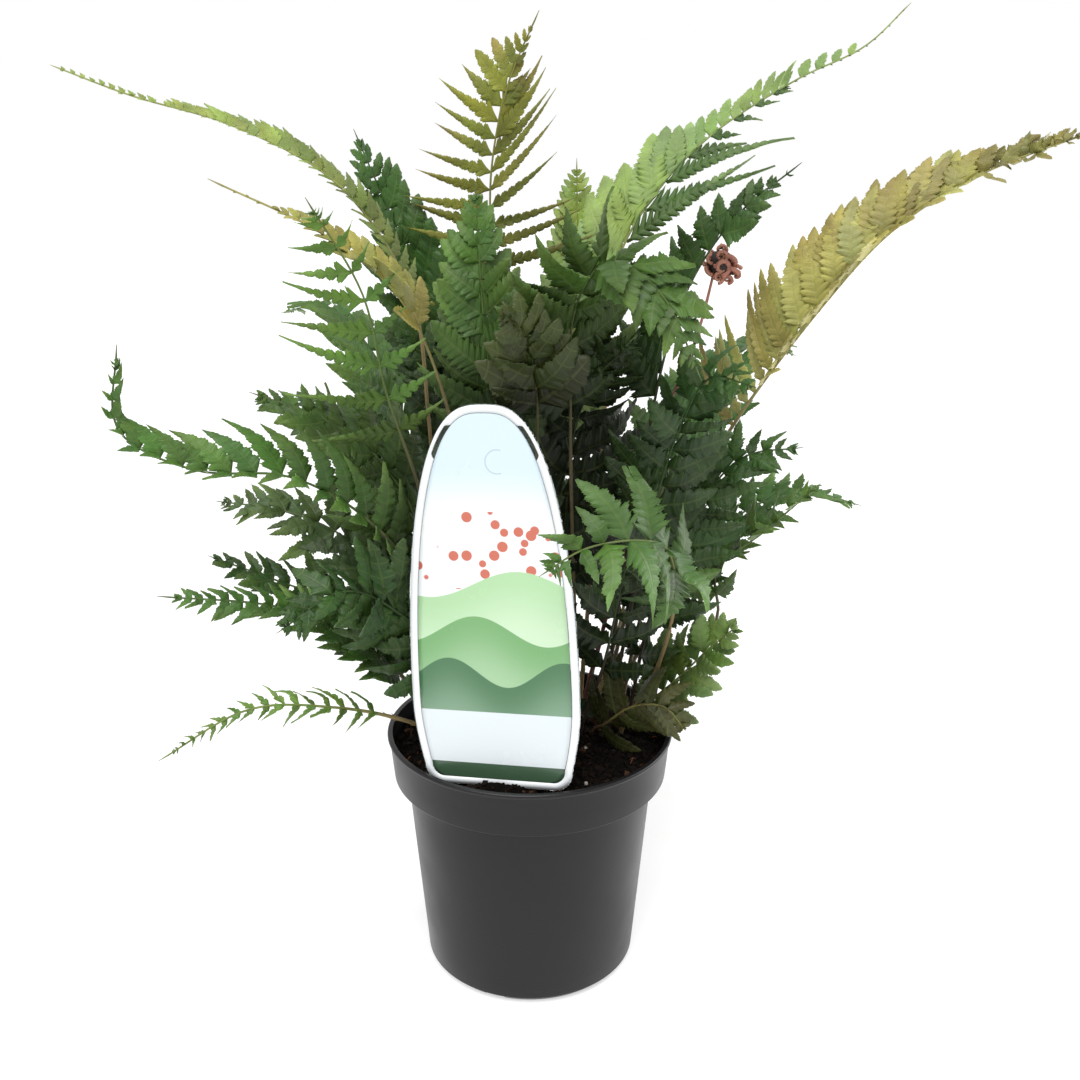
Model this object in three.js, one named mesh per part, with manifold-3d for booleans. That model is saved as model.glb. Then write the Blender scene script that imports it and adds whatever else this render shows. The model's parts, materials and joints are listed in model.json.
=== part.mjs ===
// Potted fern: a 12 cm nursery pot filled with potting soil, three rootstocks that its
// arching fronds stand round, one furled young frond and a plastic plant label on its stake.
// Millimetres, +Z up. The origin is the middle of the pot's underside, and -Y is the label's side.
import * as THREE from "three";
import { mergeVertices } from "three/addons/utils/BufferGeometryUtils.js";
import Module from "manifold-3d";

const wasm = await Module();
wasm.setup();

// ---- Driving dimensions ----
const gap = 0.3; // clear space between pieces that touch
const pot = {
  rimRadius: 60,
  height: 106,
  collarHeight: 19,
  collarDraft: 2.6, // how much narrower the collar is at its foot than the rim
  lip: 1, // how far the rim's bead stands out, and its rounding
  lipTop: 0.6, // share of the lip that the flat top of the rim reaches out to
  shoulderHeight: 3,
  bodyTopRadius: 51.8,
  footRadius: 45,
  footRound: 3, // size of the rounding at the foot, and where its middle corner lies on it
  footCorner: 0.3,
  wall: 1.3,
  floor: 1.6,
  drainHoles: 8,
  drainHoleRadius: 3.6,
  drainHoleRing: 30,
  drainHoleSides: 8,
  notches: 6, // slots through the foot's edge, where water runs out
  notchWidth: 9,
  notchHeight: 2.6,
  notchDepth: 5,
  notchTurn: 0.17, // the first slot's place, as a share of the step between two
  sides: 24,
};
const soil = { edgeHeight: 98.5, edgeRound: 2, crestHeight: 100.5, crestRadius: 40, clear: 0.36 };
const crown = {
  radius: 6.5,
  top: 106,
  bottom: 76,
  sides: 9,
  footShare: 0.55, // of the radius, at the rounded foot
  footRise: 9,
  budShare: 0.6, // of the radius, at the bud on top
  budHeight: 7,
  budRound: 1,
  seatRing: 10.4, // the stems stand in two rings round the rootstock
  secondRing: 13.6,
  seatDepth: 15,
  clearOfSoil: 8, // each stem is straight until it is this far above the soil
  seatSpread: 20, // least angle between neighbouring stems, in degrees
  seatRounds: 300, // how often the stems are pushed apart
};
const crowns = { left: [-29, 3], centre: [0, 2], right: [29, 12] };
const label = {
  halfWidth: 33,
  footHalfWidth: 27.7,
  widestAt: 36,
  height: 149.5,
  archPower: 2.1,
  archRoot: 2.8,
  cornerRadius: 8,
  cornerSteps: 4,
  rows: 16, // steps up each side, closer together towards the top
  rowsUp: 1.9,
  thickness: 0.8,
  stakeHalfWidth: 7,
  stakeLength: 35,
  stakePoint: 16,
  foot: [-11.6, -45, 101.8],
  yaw: -12.6,
  roll: -2.3,
  lean: -2.2,
};
const rib = {
  footHalf: 1.1,
  tipHalf: 0.45,
  taper: 0.8,
  flat: 0.7, // height of the flat upper side and depth of the lower edge, as shares of the half-width
  keel: 1.2,
  growSide: 1.6, // how far the corners move when the three sides move out by 1
  growKeel: 2,
  stationStep: 30,
  tipStation: 0.004, // share of the length by which the bare tip starts early
  testGrow: 0.05,
};
const leaflet = {
  thickness: 0.7,
  rootHalf: 0.8,
  widthShare: 0.2, // half-width as a share of the length, but no more than fill of the spacing
  fill: 0.46,
  clear: 0.35, // room that each one keeps to everything else
  crowding: 1.3, // how much closer together the pairs stand towards the tip
  shortening: 0.75, // how the leaflets shorten towards the tip
  lowestPairs: 0.12, // the pairs in this share of the blade are shorter by lowestShare
  lowestShare: 0.86,
  tipLean: 14, // how much further the leaflets lean at the tip, in degrees
  droop: -0.16, // bend of the middle line out of the blade and towards its tip, as shares of the length
  forward: 0.1,
  cutLean: 0.04, // how much further out each cut lies on the front edge than on the rear one
  vary: { length: 0.09, lift: 9, lean: 6, droop: 0.12 },
};
const head = {
  coilRadius: 3.1,
  coilThickness: 1.75,
  coilSides: 7,
  tubeSides: 5,
  coilSplay: 0.2, // tilt of a coil in radians for each millimetre that it lies to the side
  stemEnd: 0.985,
  stemStep: 16,
  stemGrow: 0.1,
  // Each coil's place on the end of the stem, its turn in degrees and its size.
  coils: [
    [0, 0, 1.6, 0, 1.2],
    [-4.2, -0.6, 0.6, 50, 0.85],
    [4.2, -0.6, 0.8, -50, 0.85],
    [-2.6, 0.4, 5.6, 30, 0.8],
    [2.8, 0.6, 5.2, -35, 0.85],
    [0.2, -3, 1.4, 80, 0.75],
  ],
};
const sameVolume = 1e-6; // overlap in cubic millimetres that counts as none
const sameCorner = 1e-4; // distance at which two corners are one

// ---- Fronds ----
// path: where the rib runs, from its first bend above the soil to its tip.
// face: where the upper side of the blade looks. bare: share of the rib below the leaflets.
// tail: share of the rib left bare at the tip. reach: the longest leaflet. fold: how steeply the
// two sides of the blade rise into a V. lean: how far the leaflets lean towards the tip, in degrees.
// broad: how much wider than usual the leaflets are.
const fronds = [
  { name: "frond_left_high", crown: "left", pairs: 9, reach: 36, bare: 0.55, tail: 0.13,
    fold: 18, lean: 34, face: [0.1, -0.25, 1], colour: 0x6f9145,
    path: [
      [-40, 10, 235], [-46, 11, 285], [-71, 12, 324], [-109, 18, 345], [-151, 24, 357], [-182, 30, 368],
    ] },
  { name: "frond_top_centre", crown: "centre", pairs: 10, reach: 45, bare: 0.58, tail: 0.02,
    fold: 8, lean: 20, face: [0.2, -1, 0.1], colour: 0x6d7a34,
    path: [[-10, 26, 218], [-15, 36, 291], [-15, 40, 330], [-8, 40, 362], [4, 38, 388]] },
  { name: "frond_right_high", crown: "right", pairs: 10, reach: 46, bare: 0.5, tail: 0.17,
    fold: 10, lean: 26, face: [-0.3, -0.9, 0.45], colour: 0x86a857,
    path: [
      [31, 33, 229], [36, 45, 293], [52, 50, 321], [74, 56, 343],
      [110, 66, 365], [138, 72, 378], [157, 78, 395],
    ] },
  { name: "frond_right_olive", crown: "right", pairs: 10, reach: 38, bare: 0.48, tail: 0.02,
    fold: 36, lean: 20, face: [-0.6, -0.6, 0.7], broad: 1.25, colour: 0x948f44,
    path: [[51, 14, 165], [76, 7, 225], [110, -2, 280], [133, -8, 309], [160, -12, 328], [199, -18, 344]] },
  { name: "frond_right_low", crown: "right", pairs: 7, reach: 24, bare: 0.56, tail: 0.02,
    fold: 30, lean: 26, face: [-0.3, -0.6, 1], colour: 0x4c7434,
    path: [[56, 27, 116], [74, 28, 128], [81, 24, 146], [79, 20, 168], [96, 10, 188], [116, 2, 211]] },
  { name: "frond_front_light", crown: "right", pairs: 8, reach: 37, bare: 0.52, tail: 0.02,
    fold: 14, lean: 12, face: [0, -0.75, 0.8], broad: 1.1, colour: 0x5b9148,
    path: [
      [50, 1, 123], [55, -12, 148], [56, -28, 174], [50, -48, 200],
      [38, -63, 208], [19, -79, 210], [4, -92, 205],
    ] },
  { name: "frond_centre_sweep", crown: "right", pairs: 9, reach: 38, bare: 0.56, tail: 0.02,
    fold: 10, lean: 22, face: [0.35, -0.8, 0.6], colour: 0x4a7a4c,
    path: [[16, -6, 240], [17, -24, 283], [28, -38, 301], [45, -52, 291], [58, -64, 264]] },
  { name: "frond_left_ladder", crown: "left", pairs: 9, reach: 43, bare: 0.58, tail: 0.02,
    fold: 6, lean: 12, face: [0.1, -1, 0.2], colour: 0x4f7a35,
    path: [[-40, -16, 205], [-51, -34, 255], [-57, -40, 290], [-74, -44, 322]] },
  { name: "frond_left_low", crown: "left", pairs: 9, reach: 32, bare: 0.44, tail: 0.02,
    fold: 24, lean: 32, face: [0.3, -0.9, 0.6], colour: 0x47743a,
    path: [
      [-44, -14, 172], [-60, -36, 208], [-84, -52, 228],
      [-114, -62, 233], [-136, -68, 248], [-133, -70, 277],
    ] },
  { name: "frond_upper_mid", crown: "centre", pairs: 8, reach: 36, bare: 0.55, tail: 0.02,
    fold: 10, lean: 32, face: [0.1, -1, 0.3], broad: 1.1, colour: 0x456f33,
    path: [[-11, -4, 230], [-16, -12, 270], [-19, -10, 326]] },
  { name: "frond_top_left_dark", crown: "left", pairs: 8, reach: 36, bare: 0.52, tail: 0.02,
    fold: 18, lean: 36, face: [0.5, -0.8, 0.3], broad: 1.1, colour: 0x35602b,
    path: [[-28, 28, 225], [-42, 30, 280], [-68, 32, 345]] },
  { name: "frond_left_tan", crown: "centre", pairs: 8, reach: 22, bare: 0.62, tail: 0.08,
    fold: 36, lean: 30, face: [0.35, -0.5, 0.9], colour: 0xa09148,
    path: [[-25, -14, 221], [-44, -28, 285], [-68, -34, 308], [-106, -44, 328]] },
  { name: "frond_right_dark", crown: "right", pairs: 7, reach: 26, bare: 0.58, tail: 0.04,
    fold: 26, lean: 30, face: [-0.5, -0.8, 0.4], colour: 0x2e5226,
    path: [[45, -4, 225], [57, -10, 284], [74, -16, 314], [95, -24, 333]] },
  { name: "frond_left_mid", crown: "left", pairs: 7, reach: 36, bare: 0.46, tail: 0.02,
    fold: 14, lean: 26, face: [0.3, -0.8, 0.7], broad: 1.1, colour: 0x42682f,
    path: [[-42, -6, 190], [-58, -10, 224], [-78, -12, 240], [-106, -10, 250]] },
  { name: "frond_left_dark", crown: "left", pairs: 7, reach: 35, bare: 0.4, tail: 0.02,
    fold: 16, lean: 26, face: [0.2, -0.6, 0.9], broad: 1.1, colour: 0x2f5428,
    path: [[-44, 24, 168], [-66, 32, 214], [-88, 36, 230], [-116, 38, 237]] },
  { name: "frond_left_grey", crown: "left", pairs: 7, reach: 32, bare: 0.38, tail: 0.02,
    fold: 14, lean: 28, face: [0.2, -0.7, 0.8], colour: 0x506f4a,
    path: [[-54, 12, 158], [-76, 14, 184], [-100, 16, 195], [-130, 18, 199]] },
  { name: "frond_left_shelf", crown: "left", pairs: 7, reach: 31, bare: 0.34, tail: 0.02,
    fold: 14, lean: 28, face: [0.2, -0.6, 0.9], colour: 0x3c6a33,
    path: [[-56, 0, 143], [-78, -6, 163], [-100, -10, 174], [-126, -14, 186]] },
  { name: "frond_left_floor", crown: "left", pairs: 9, reach: 29, bare: 0.34, tail: 0.04,
    fold: 14, lean: 30, face: [0.2, -0.5, 0.9], colour: 0x426f35,
    path: [[-50, -10, 130], [-68, -28, 156], [-92, -40, 174], [-134, -54, 184]] },
  { name: "frond_left_bottom", crown: "left", pairs: 8, reach: 16, bare: 0.42, tail: 0.04,
    fold: 10, lean: 30, face: [0.1, -0.3, 1], colour: 0x66924c,
    path: [[-48, -24, 119], [-74, -42, 134], [-104, -54, 139], [-135, -68, 125]] },
  { name: "frond_left_inner", crown: "left", pairs: 7, reach: 31, bare: 0.44, tail: 0.02,
    fold: 12, lean: 24, face: [0.1, -0.8, 0.7], broad: 1.1, colour: 0x31592a,
    path: [[-31, -19, 138], [-47, -31, 166], [-67, -52, 185], [-88, -70, 176]] },
  { name: "frond_front_brown", crown: "centre", pairs: 7, reach: 36, bare: 0.58, tail: 0.02,
    fold: 10, lean: 24, face: [0, -0.9, 0.5], broad: 1.15, colour: 0x4f5230,
    path: [[3, -12, 222], [3, -24, 252], [-1, -38, 275], [-10, -54, 286]] },
  { name: "frond_centre_dark", crown: "centre", pairs: 7, reach: 40, bare: 0.46, tail: 0.02,
    fold: 12, lean: 22, face: [0.1, -0.9, 0.5], broad: 1.15, colour: 0x2b4a24,
    path: [[10, 6, 180], [15, 4, 218], [24, -6, 252], [40, -22, 272]] },
  { name: "frond_centre_back", crown: "centre", pairs: 7, reach: 42, bare: 0.46, tail: 0.02,
    fold: 12, lean: 22, face: [-0.1, -0.9, 0.5], broad: 1.15, colour: 0x2f5428,
    path: [[-14, 14, 170], [-24, 20, 218], [-36, 24, 250], [-54, 22, 270]] },
  { name: "frond_right_mass", crown: "right", pairs: 7, reach: 34, bare: 0.5, tail: 0.02,
    fold: 14, lean: 24, face: [0.2, -0.9, 0.5], broad: 1.1, colour: 0x365f34,
    path: [[48, -3, 195], [57, -14, 236], [66, -26, 258], [80, -44, 258]] },
  { name: "frond_right_fill", crown: "right", pairs: 7, reach: 35, bare: 0.44, tail: 0.02,
    fold: 14, lean: 24, face: [0.2, -0.8, 0.6], broad: 1.1, colour: 0x335a2c,
    path: [[52, 8, 158], [68, 4, 200], [84, 0, 222], [106, -8, 228]] },
  { name: "frond_right_under", crown: "right", pairs: 7, reach: 28, bare: 0.42, tail: 0.02,
    fold: 12, lean: 22, face: [0.1, -0.9, 0.5], broad: 1.1, colour: 0x2b4a24,
    path: [[30, -12, 138], [35, -22, 172], [36, -34, 188], [30, -50, 184]] },
  { name: "frond_right_sprig", crown: "right", pairs: 6, reach: 18, bare: 0.34, tail: 0.02,
    fold: 16, lean: 22, face: [-0.2, -0.7, 0.8], broad: 1.2, colour: 0x5a8d45,
    path: [[51, 5, 114], [61, -3, 128], [74, -10, 146], [84, -14, 157]] },
  { name: "frond_rim_right", crown: "right", pairs: 5, reach: 17, bare: 0.4, tail: 0.02,
    fold: 4, lean: 26, face: [0.1, -0.9, 0.5], broad: 1.3, colour: 0x4b5a2b,
    path: [[31, -12, 112], [42, -20, 124], [54, -25, 126], [62, -30, 118]] },
  { name: "frond_light_back", crown: "centre", pairs: 7, reach: 32, bare: 0.55, tail: 0.02,
    fold: 10, lean: 30, face: [0, -0.9, 0.4], colour: 0x7fa055,
    path: [[10, 44, 215], [20, 66, 283], [20, 78, 334]] },
  { name: "frond_back_left", crown: "left", pairs: 9, reach: 40, bare: 0.4, tail: 0.03,
    fold: 14, lean: 26, face: [0.3, -0.2, 1], colour: 0x3d692f,
    path: [[-44, 40, 190], [-66, 70, 246], [-94, 102, 268], [-122, 132, 262]] },
  { name: "frond_back", crown: "centre", pairs: 9, reach: 42, bare: 0.4, tail: 0.03,
    fold: 14, lean: 26, face: [0, -0.4, 1], colour: 0x456f33,
    path: [[-1, 46, 190], [-2, 84, 244], [-4, 120, 264], [-6, 154, 254]] },
  { name: "frond_back_right", crown: "right", pairs: 9, reach: 42, bare: 0.4, tail: 0.03,
    fold: 14, lean: 26, face: [-0.3, -0.2, 1], colour: 0x3a6630,
    path: [[54, 42, 184], [77, 78, 232], [104, 110, 250], [132, 138, 240]] },
  { name: "frond_back_low", crown: "right", pairs: 7, reach: 34, bare: 0.34, tail: 0.03,
    fold: 14, lean: 26, face: [-0.1, -0.2, 1], colour: 0x50803c,
    path: [[42, 48, 140], [46, 86, 172], [50, 118, 182], [54, 148, 174]] },
  { name: "frond_right_back", crown: "right", pairs: 7, reach: 34, bare: 0.38, tail: 0.03,
    fold: 14, lean: 26, face: [-0.3, -0.3, 1], colour: 0x3a6630,
    path: [[60, 36, 146], [90, 44, 184], [120, 50, 194], [148, 56, 186]] },
];
const furled = {
  name: "frond_furled", crown: "right", colour: 0x87514a,
  path: [[31, 20, 139], [38, 17, 175], [48, 12, 221], [64, 5, 266], [71, 0, 300]],
};

// ---- Small tools ----
const toRadians = Math.PI / 180;
const mix = (a, b, t) => a + (b - a) * t;

// A repeatable draw from -1 to 1 for a whole number.
function draw(n) {
  const x = Math.sin(n * 12.9898) * 43758.5453;
  return 2 * (x - Math.floor(x)) - 1;
}

function solidOf(geometry) {
  const bare = geometry.clone();
  bare.deleteAttribute("normal");
  bare.deleteAttribute("uv");
  const merged = mergeVertices(bare, sameCorner);
  return new wasm.Manifold(
    new wasm.Mesh({
      numProp: 3,
      vertProperties: merged.attributes.position.array,
      triVerts: new Uint32Array(merged.index.array),
    }),
  );
}

function geometryOf(solid) {
  const mesh = solid.getMesh();
  const geometry = new THREE.BufferGeometry();
  geometry.setAttribute("position", new THREE.BufferAttribute(mesh.vertProperties, 3));
  geometry.setIndex(new THREE.BufferAttribute(mesh.triVerts, 1));
  return geometry;
}

function named(name, geometry, material) {
  const mesh = new THREE.Mesh(geometry, material);
  mesh.name = name;
  return mesh;
}

// Collects the corners and faces of one closed surface.
class Shell {
  points = [];
  faces = [];

  corner(p) {
    this.points.push(p);
    return this.points.length - 1;
  }

  triangle(a, b, c, flip = false) {
    this.faces.push(flip ? [a, c, b] : [a, b, c]);
  }

  // Always split from a to c, so that both sides of a waved blade are split alike.
  quad(a, b, c, d, flip = false) {
    this.triangle(a, b, c, flip);
    this.triangle(a, c, d, flip);
  }

  geometry() {
    const flat = new Float32Array(this.points.flatMap((p) => [p.x, p.y, p.z]));
    const geometry = new THREE.BufferGeometry();
    geometry.setAttribute("position", new THREE.BufferAttribute(flat, 3));
    geometry.setIndex(this.faces.flat());
    return geometry;
  }

  solid() {
    return solidOf(this.geometry());
  }
}

// ---- Rib of a frond ----
function soilHeight(radius) {
  const t = Math.min(1, Math.max(0, (pot.rimRadius - radius) / (pot.rimRadius - soil.crestRadius)));
  return mix(soil.edgeHeight, soil.crestHeight, t);
}

// The stems of one crown leave it in the direction they grow in, pushed apart until they have room.
function seatsOf(crownName, members) {
  const [x, y] = crowns[crownName];
  const stems = members
    .map((f) => ({ name: f.name, angle: Math.atan2(f.path[0][1] - y, f.path[0][0] - x) }))
    .sort((a, b) => a.angle - b.angle);
  const least = crown.seatSpread * toRadians;
  for (let round = 0; round < crown.seatRounds; round += 1) {
    stems.forEach((stem, i) => {
      const next = stems[(i + 1) % stems.length];
      const turn = i + 1 === stems.length ? 2 * Math.PI : 0;
      const short = least - (next.angle + turn - stem.angle);
      if (short <= 0) return;
      stem.angle -= short / 2;
      next.angle += short / 2;
    });
  }
  return stems.map((stem, i) => {
    const r = i % 2 === 0 ? crown.seatRing : crown.secondRing;
    return [stem.name, [x + r * Math.cos(stem.angle), y + r * Math.sin(stem.angle)]];
  });
}

class Midrib {
  constructor(frond, seat) {
    const top = soilHeight(Math.hypot(...seat));
    const foot = new THREE.Vector3(seat[0], seat[1], top - crown.seatDepth);
    const surface = new THREE.Vector3(seat[0], seat[1], top);
    const rest = frond.path.map((p) => new THREE.Vector3(...p));
    this.curve = new THREE.CatmullRomCurve3([foot, surface, ...rest], false, "centripetal");
    this.curve.arcLengthDivisions = 400;
    this.length = this.curve.getLength();
    this.emerge = (crown.seatDepth + crown.clearOfSoil) / this.length;
    this.bladeStart = frond.bare ?? 1;
    this.bladeFace = new THREE.Vector3(...(frond.face ?? [0, -1, 0.5])).normalize();
    const [tipX, tipY] = frond.path.at(-1);
    this.stemFace = new THREE.Vector3(seat[0] - tipX, seat[1] - tipY, 0).normalize();
  }

  // The stem's flat side looks back over the pot, and turns to the blade's face on its way up.
  face(s) {
    const t = THREE.MathUtils.smoothstep(s, this.emerge, this.bladeStart);
    return this.stemFace.clone().lerp(this.bladeFace, t);
  }

  half(s) {
    return mix(rib.footHalf, rib.tipHalf, s ** rib.taper);
  }

  // Place, direction of growth, right-hand side and upper side at a share of the length.
  frame(s) {
    const at = this.curve.getPointAt(s);
    const along = this.curve.getTangentAt(s).normalize();
    const face = this.face(s);
    const up = face.clone().addScaledVector(along, -face.dot(along)).normalize();
    const right = new THREE.Vector3().crossVectors(along, up).normalize();
    return { at, along, right, up };
  }

  // The rib is flat above and comes to an edge below.
  ring(shell, s, grow = 0) {
    const { at, along, right, up } = this.frame(s);
    if (s === 0) at.addScaledVector(along, -grow);
    const h = this.half(s);
    const corner = (r, u) => shell.corner(at.clone().addScaledVector(right, r).addScaledVector(up, u));
    const side = h + rib.growSide * grow;
    return {
      right: corner(side, h * rib.flat + grow),
      left: corner(-side, h * rib.flat + grow),
      low: corner(0, -h * rib.keel - rib.growKeel * grow),
    };
  }
}

function wallTop(shell, rear, front) {
  shell.quad(rear.left, rear.right, front.right, front.left);
}

function wallRight(shell, rear, front) {
  shell.quad(rear.low, front.low, front.right, rear.right);
}

function wallLeft(shell, rear, front) {
  shell.quad(front.low, rear.low, rear.left, front.left);
}

// A plain rib through the given stations, used for tests and for the holes in the soil.
function tube(midrib, stations, grow) {
  const shell = new Shell();
  let last = null;
  for (const s of stations) {
    const ring = midrib.ring(shell, s, grow);
    if (last) {
      wallTop(shell, last, ring);
      wallRight(shell, last, ring);
      wallLeft(shell, last, ring);
    } else {
      shell.triangle(ring.left, ring.low, ring.right);
    }
    last = ring;
  }
  shell.triangle(last.right, last.low, last.left);
  return shell.solid();
}

// Shares of the length at even steps from one station up to, but without, another.
function steps(midrib, from, to, step) {
  const count = Math.max(1, Math.ceil(((to - from) * midrib.length) / step));
  return Array.from({ length: count }, (_, i) => mix(from, to, i / count));
}

// ---- Leaflets ----
// The cut outline of leaflets longer than a length: share of the length, and share of the full
// half-width, at each station.
const outlines = [
  { longerThan: 32, stations: [[0.15, 1], [0.4, 0.58], [0.55, 0.85]] },
  { longerThan: 19, stations: [[0.18, 1], [0.58, 0.66]] },
  { longerThan: 0, stations: [[0.3, 1]] },
];

// The pairs of leaflets stand closer together towards the tip.
function pairPlace(frond, i) {
  return mix(frond.bare, 1 - frond.tail, 1 - (1 - i / frond.pairs) ** leaflet.crowding);
}

// Everything that sets one leaflet, before it is bent clear of its neighbours.
function plan(frond, midrib, seed) {
  const { vary } = leaflet;
  const leaves = [];
  for (let i = 0; i < frond.pairs; i += 1) {
    const s = pairPlace(frond, i);
    const u = i / frond.pairs;
    const spacing = (pairPlace(frond, i + 1) - s) * midrib.length;
    for (const side of [1, -1]) {
      const n = seed * 100 + i * 2 + (side > 0 ? 0 : 1);
      const lowest = u < leaflet.lowestPairs ? leaflet.lowestShare : 1;
      const length = frond.reach * (1 - u) ** leaflet.shortening * lowest * (1 + vary.length * draw(n));
      leaves.push({
        s,
        side,
        length,
        halfWidth: Math.min(leaflet.widthShare * (frond.broad ?? 1) * length, leaflet.fill * spacing),
        lift: frond.fold + vary.lift * draw(n + 0.25),
        lean: frond.lean + leaflet.tipLean * u + vary.lean * draw(n + 0.5),
        droop: leaflet.droop + vary.droop * draw(n + 0.75),
      });
    }
  }
  return leaves;
}

// Gives the point at a share t of a leaflet's middle line, moved by w across it and n out of it.
function leafPoint(midrib, leaf) {
  const { at, along, right, up } = midrib.frame(leaf.s);
  const lean = leaf.lean * toRadians;
  const lift = leaf.lift * toRadians;
  const out = right
    .clone()
    .multiplyScalar(leaf.side * Math.cos(lift))
    .addScaledVector(up, Math.sin(lift));
  const direction = out.clone().multiplyScalar(Math.cos(lean)).addScaledVector(along, Math.sin(lean));
  const width = along.clone().multiplyScalar(Math.cos(lean)).addScaledVector(out, -Math.sin(lean));
  const normal = new THREE.Vector3().crossVectors(direction, width).multiplyScalar(leaf.side);
  return (t, w, n) =>
    at
      .clone()
      .addScaledVector(direction, leaf.length * t)
      .addScaledVector(width, w + leaflet.forward * leaf.length * t * t)
      .addScaledVector(normal, n + leaf.droop * leaf.length * t * t);
}

// Adds one leaflet outward from the four corners that its root takes on the rib.
function addLeaf(shell, midrib, leaf, root, grow = 0) {
  const point = leafPoint(midrib, leaf);
  const flip = leaf.side < 0;
  const half = leaflet.thickness / 2 + grow;
  const { stations } = outlines.find((outline) => leaf.length > outline.longerThan);
  let last = root;
  for (const [t, share] of stations) {
    const w = leaf.halfWidth * share + grow;
    const next = {
      rearTop: shell.corner(point(t, -w, half)),
      rearLow: shell.corner(point(t, -w, -half)),
      frontLow: shell.corner(point(t + leaflet.cutLean, w, -half)),
      frontTop: shell.corner(point(t + leaflet.cutLean, w, half)),
    };
    shell.quad(last.rearTop, next.rearTop, next.frontTop, last.frontTop, flip);
    shell.quad(last.rearLow, last.frontLow, next.frontLow, next.rearLow, flip);
    shell.quad(last.rearLow, next.rearLow, next.rearTop, last.rearTop, flip);
    shell.quad(next.frontLow, last.frontLow, last.frontTop, next.frontTop, flip);
    last = next;
  }
  const tipTop = shell.corner(point(1 + grow / leaf.length, 0, half));
  const tipLow = shell.corner(point(1 + grow / leaf.length, 0, -half));
  shell.triangle(last.rearTop, tipTop, last.frontTop, flip);
  shell.triangle(last.rearLow, last.frontLow, tipLow, flip);
  shell.quad(last.rearLow, tipLow, tipTop, last.rearTop, flip);
  shell.quad(tipLow, last.frontLow, last.frontTop, tipTop, flip);
}

// A closed copy of one leaflet, grown a little, for testing what it would run into.
function leafSolid(midrib, leaf, grow) {
  const shell = new Shell();
  const point = leafPoint(midrib, leaf);
  const h = midrib.half(leaf.s) + grow;
  const start = midrib.half(leaf.s) / leaf.length;
  const w = leaflet.rootHalf + grow;
  const root = {
    rearTop: shell.corner(point(start, -w, h)),
    rearLow: shell.corner(point(start, -w, -h)),
    frontLow: shell.corner(point(start, w, -h)),
    frontTop: shell.corner(point(start, w, h)),
  };
  const flip = leaf.side < 0;
  shell.quad(root.rearLow, root.rearTop, root.frontTop, root.frontLow, flip);
  addLeaf(shell, midrib, leaf, root, grow);
  return shell.solid();
}

// ---- Bending the leaflets clear of each other ----
const liftTries = [0, 11, -11, 22, -22, 34, -34, 48, -48];
const leanTries = [0, 13, -13];
const lengthTries = [1, 0.8, 0.6, 0.42];

function boxesMeet(a, b) {
  return [0, 1, 2].every((k) => a.min[k] <= b.max[k] && b.min[k] <= a.max[k]);
}

// A leaflet grows from its own rib and beside its own twin, so neither counts.
function isClear(solid, taken, ownName, place) {
  const box = solid.boundingBox();
  for (const other of taken) {
    if (other.owner === ownName && (other.place === "rib" || other.place === place)) continue;
    if (!boxesMeet(box, other.box)) continue;
    if (solid.intersect(other.solid).volume() > sameVolume) return false;
  }
  return true;
}

// The first way of bending, leaning or shortening a leaflet that keeps it clear of everything.
function settle(midrib, leaf, taken, ownName) {
  for (const share of lengthTries) {
    for (const lean of leanTries) {
      for (const lift of liftTries) {
        const bent = {
          ...leaf,
          length: leaf.length * share,
          halfWidth: leaf.halfWidth * Math.sqrt(share),
          lift: leaf.lift + lift,
          lean: leaf.lean + lean,
        };
        const test = leafSolid(midrib, bent, leaflet.clear);
        if (isClear(test, taken, ownName, leaf.s)) return bent;
      }
    }
  }
  throw new Error(`${ownName} has no room for a leaflet`);
}

// ---- One frond as one closed body ----
// The rib's stations from its foot to its tip. A pair of leaflets grows between two close ones.
function frondStations(frond, midrib) {
  const root = leaflet.rootHalf / midrib.length;
  const pairs = Array.from({ length: frond.pairs }, (_, i) => pairPlace(frond, i));
  return [
    0,
    ...steps(midrib, midrib.emerge, frond.bare - root, rib.stationStep),
    ...pairs.flatMap((s) => [s - root, s + root]),
    ...steps(midrib, 1 - frond.tail / 2 - rib.tipStation, 1, rib.stationStep),
    1,
  ];
}

function frondGeometry(frond, midrib, leaves) {
  const shell = new Shell();
  let last = null;
  let lastStation = 0;
  for (const s of frondStations(frond, midrib)) {
    const ring = midrib.ring(shell, s);
    if (last) {
      const here = leaves.filter((leaf) => leaf.s > lastStation && leaf.s < s);
      const rightLeaf = here.find((leaf) => leaf.side > 0);
      const leftLeaf = here.find((leaf) => leaf.side < 0);
      const rear = last;
      const root = (edge) => ({
        rearTop: rear[edge],
        rearLow: rear.low,
        frontLow: ring.low,
        frontTop: ring[edge],
      });
      wallTop(shell, rear, ring);
      if (rightLeaf) addLeaf(shell, midrib, rightLeaf, root("right"));
      else wallRight(shell, rear, ring);
      if (leftLeaf) addLeaf(shell, midrib, leftLeaf, root("left"));
      else wallLeft(shell, rear, ring);
    } else {
      shell.triangle(ring.left, ring.low, ring.right);
    }
    last = ring;
    lastStation = s;
  }
  shell.triangle(last.right, last.low, last.left);
  return shell.geometry();
}

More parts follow.
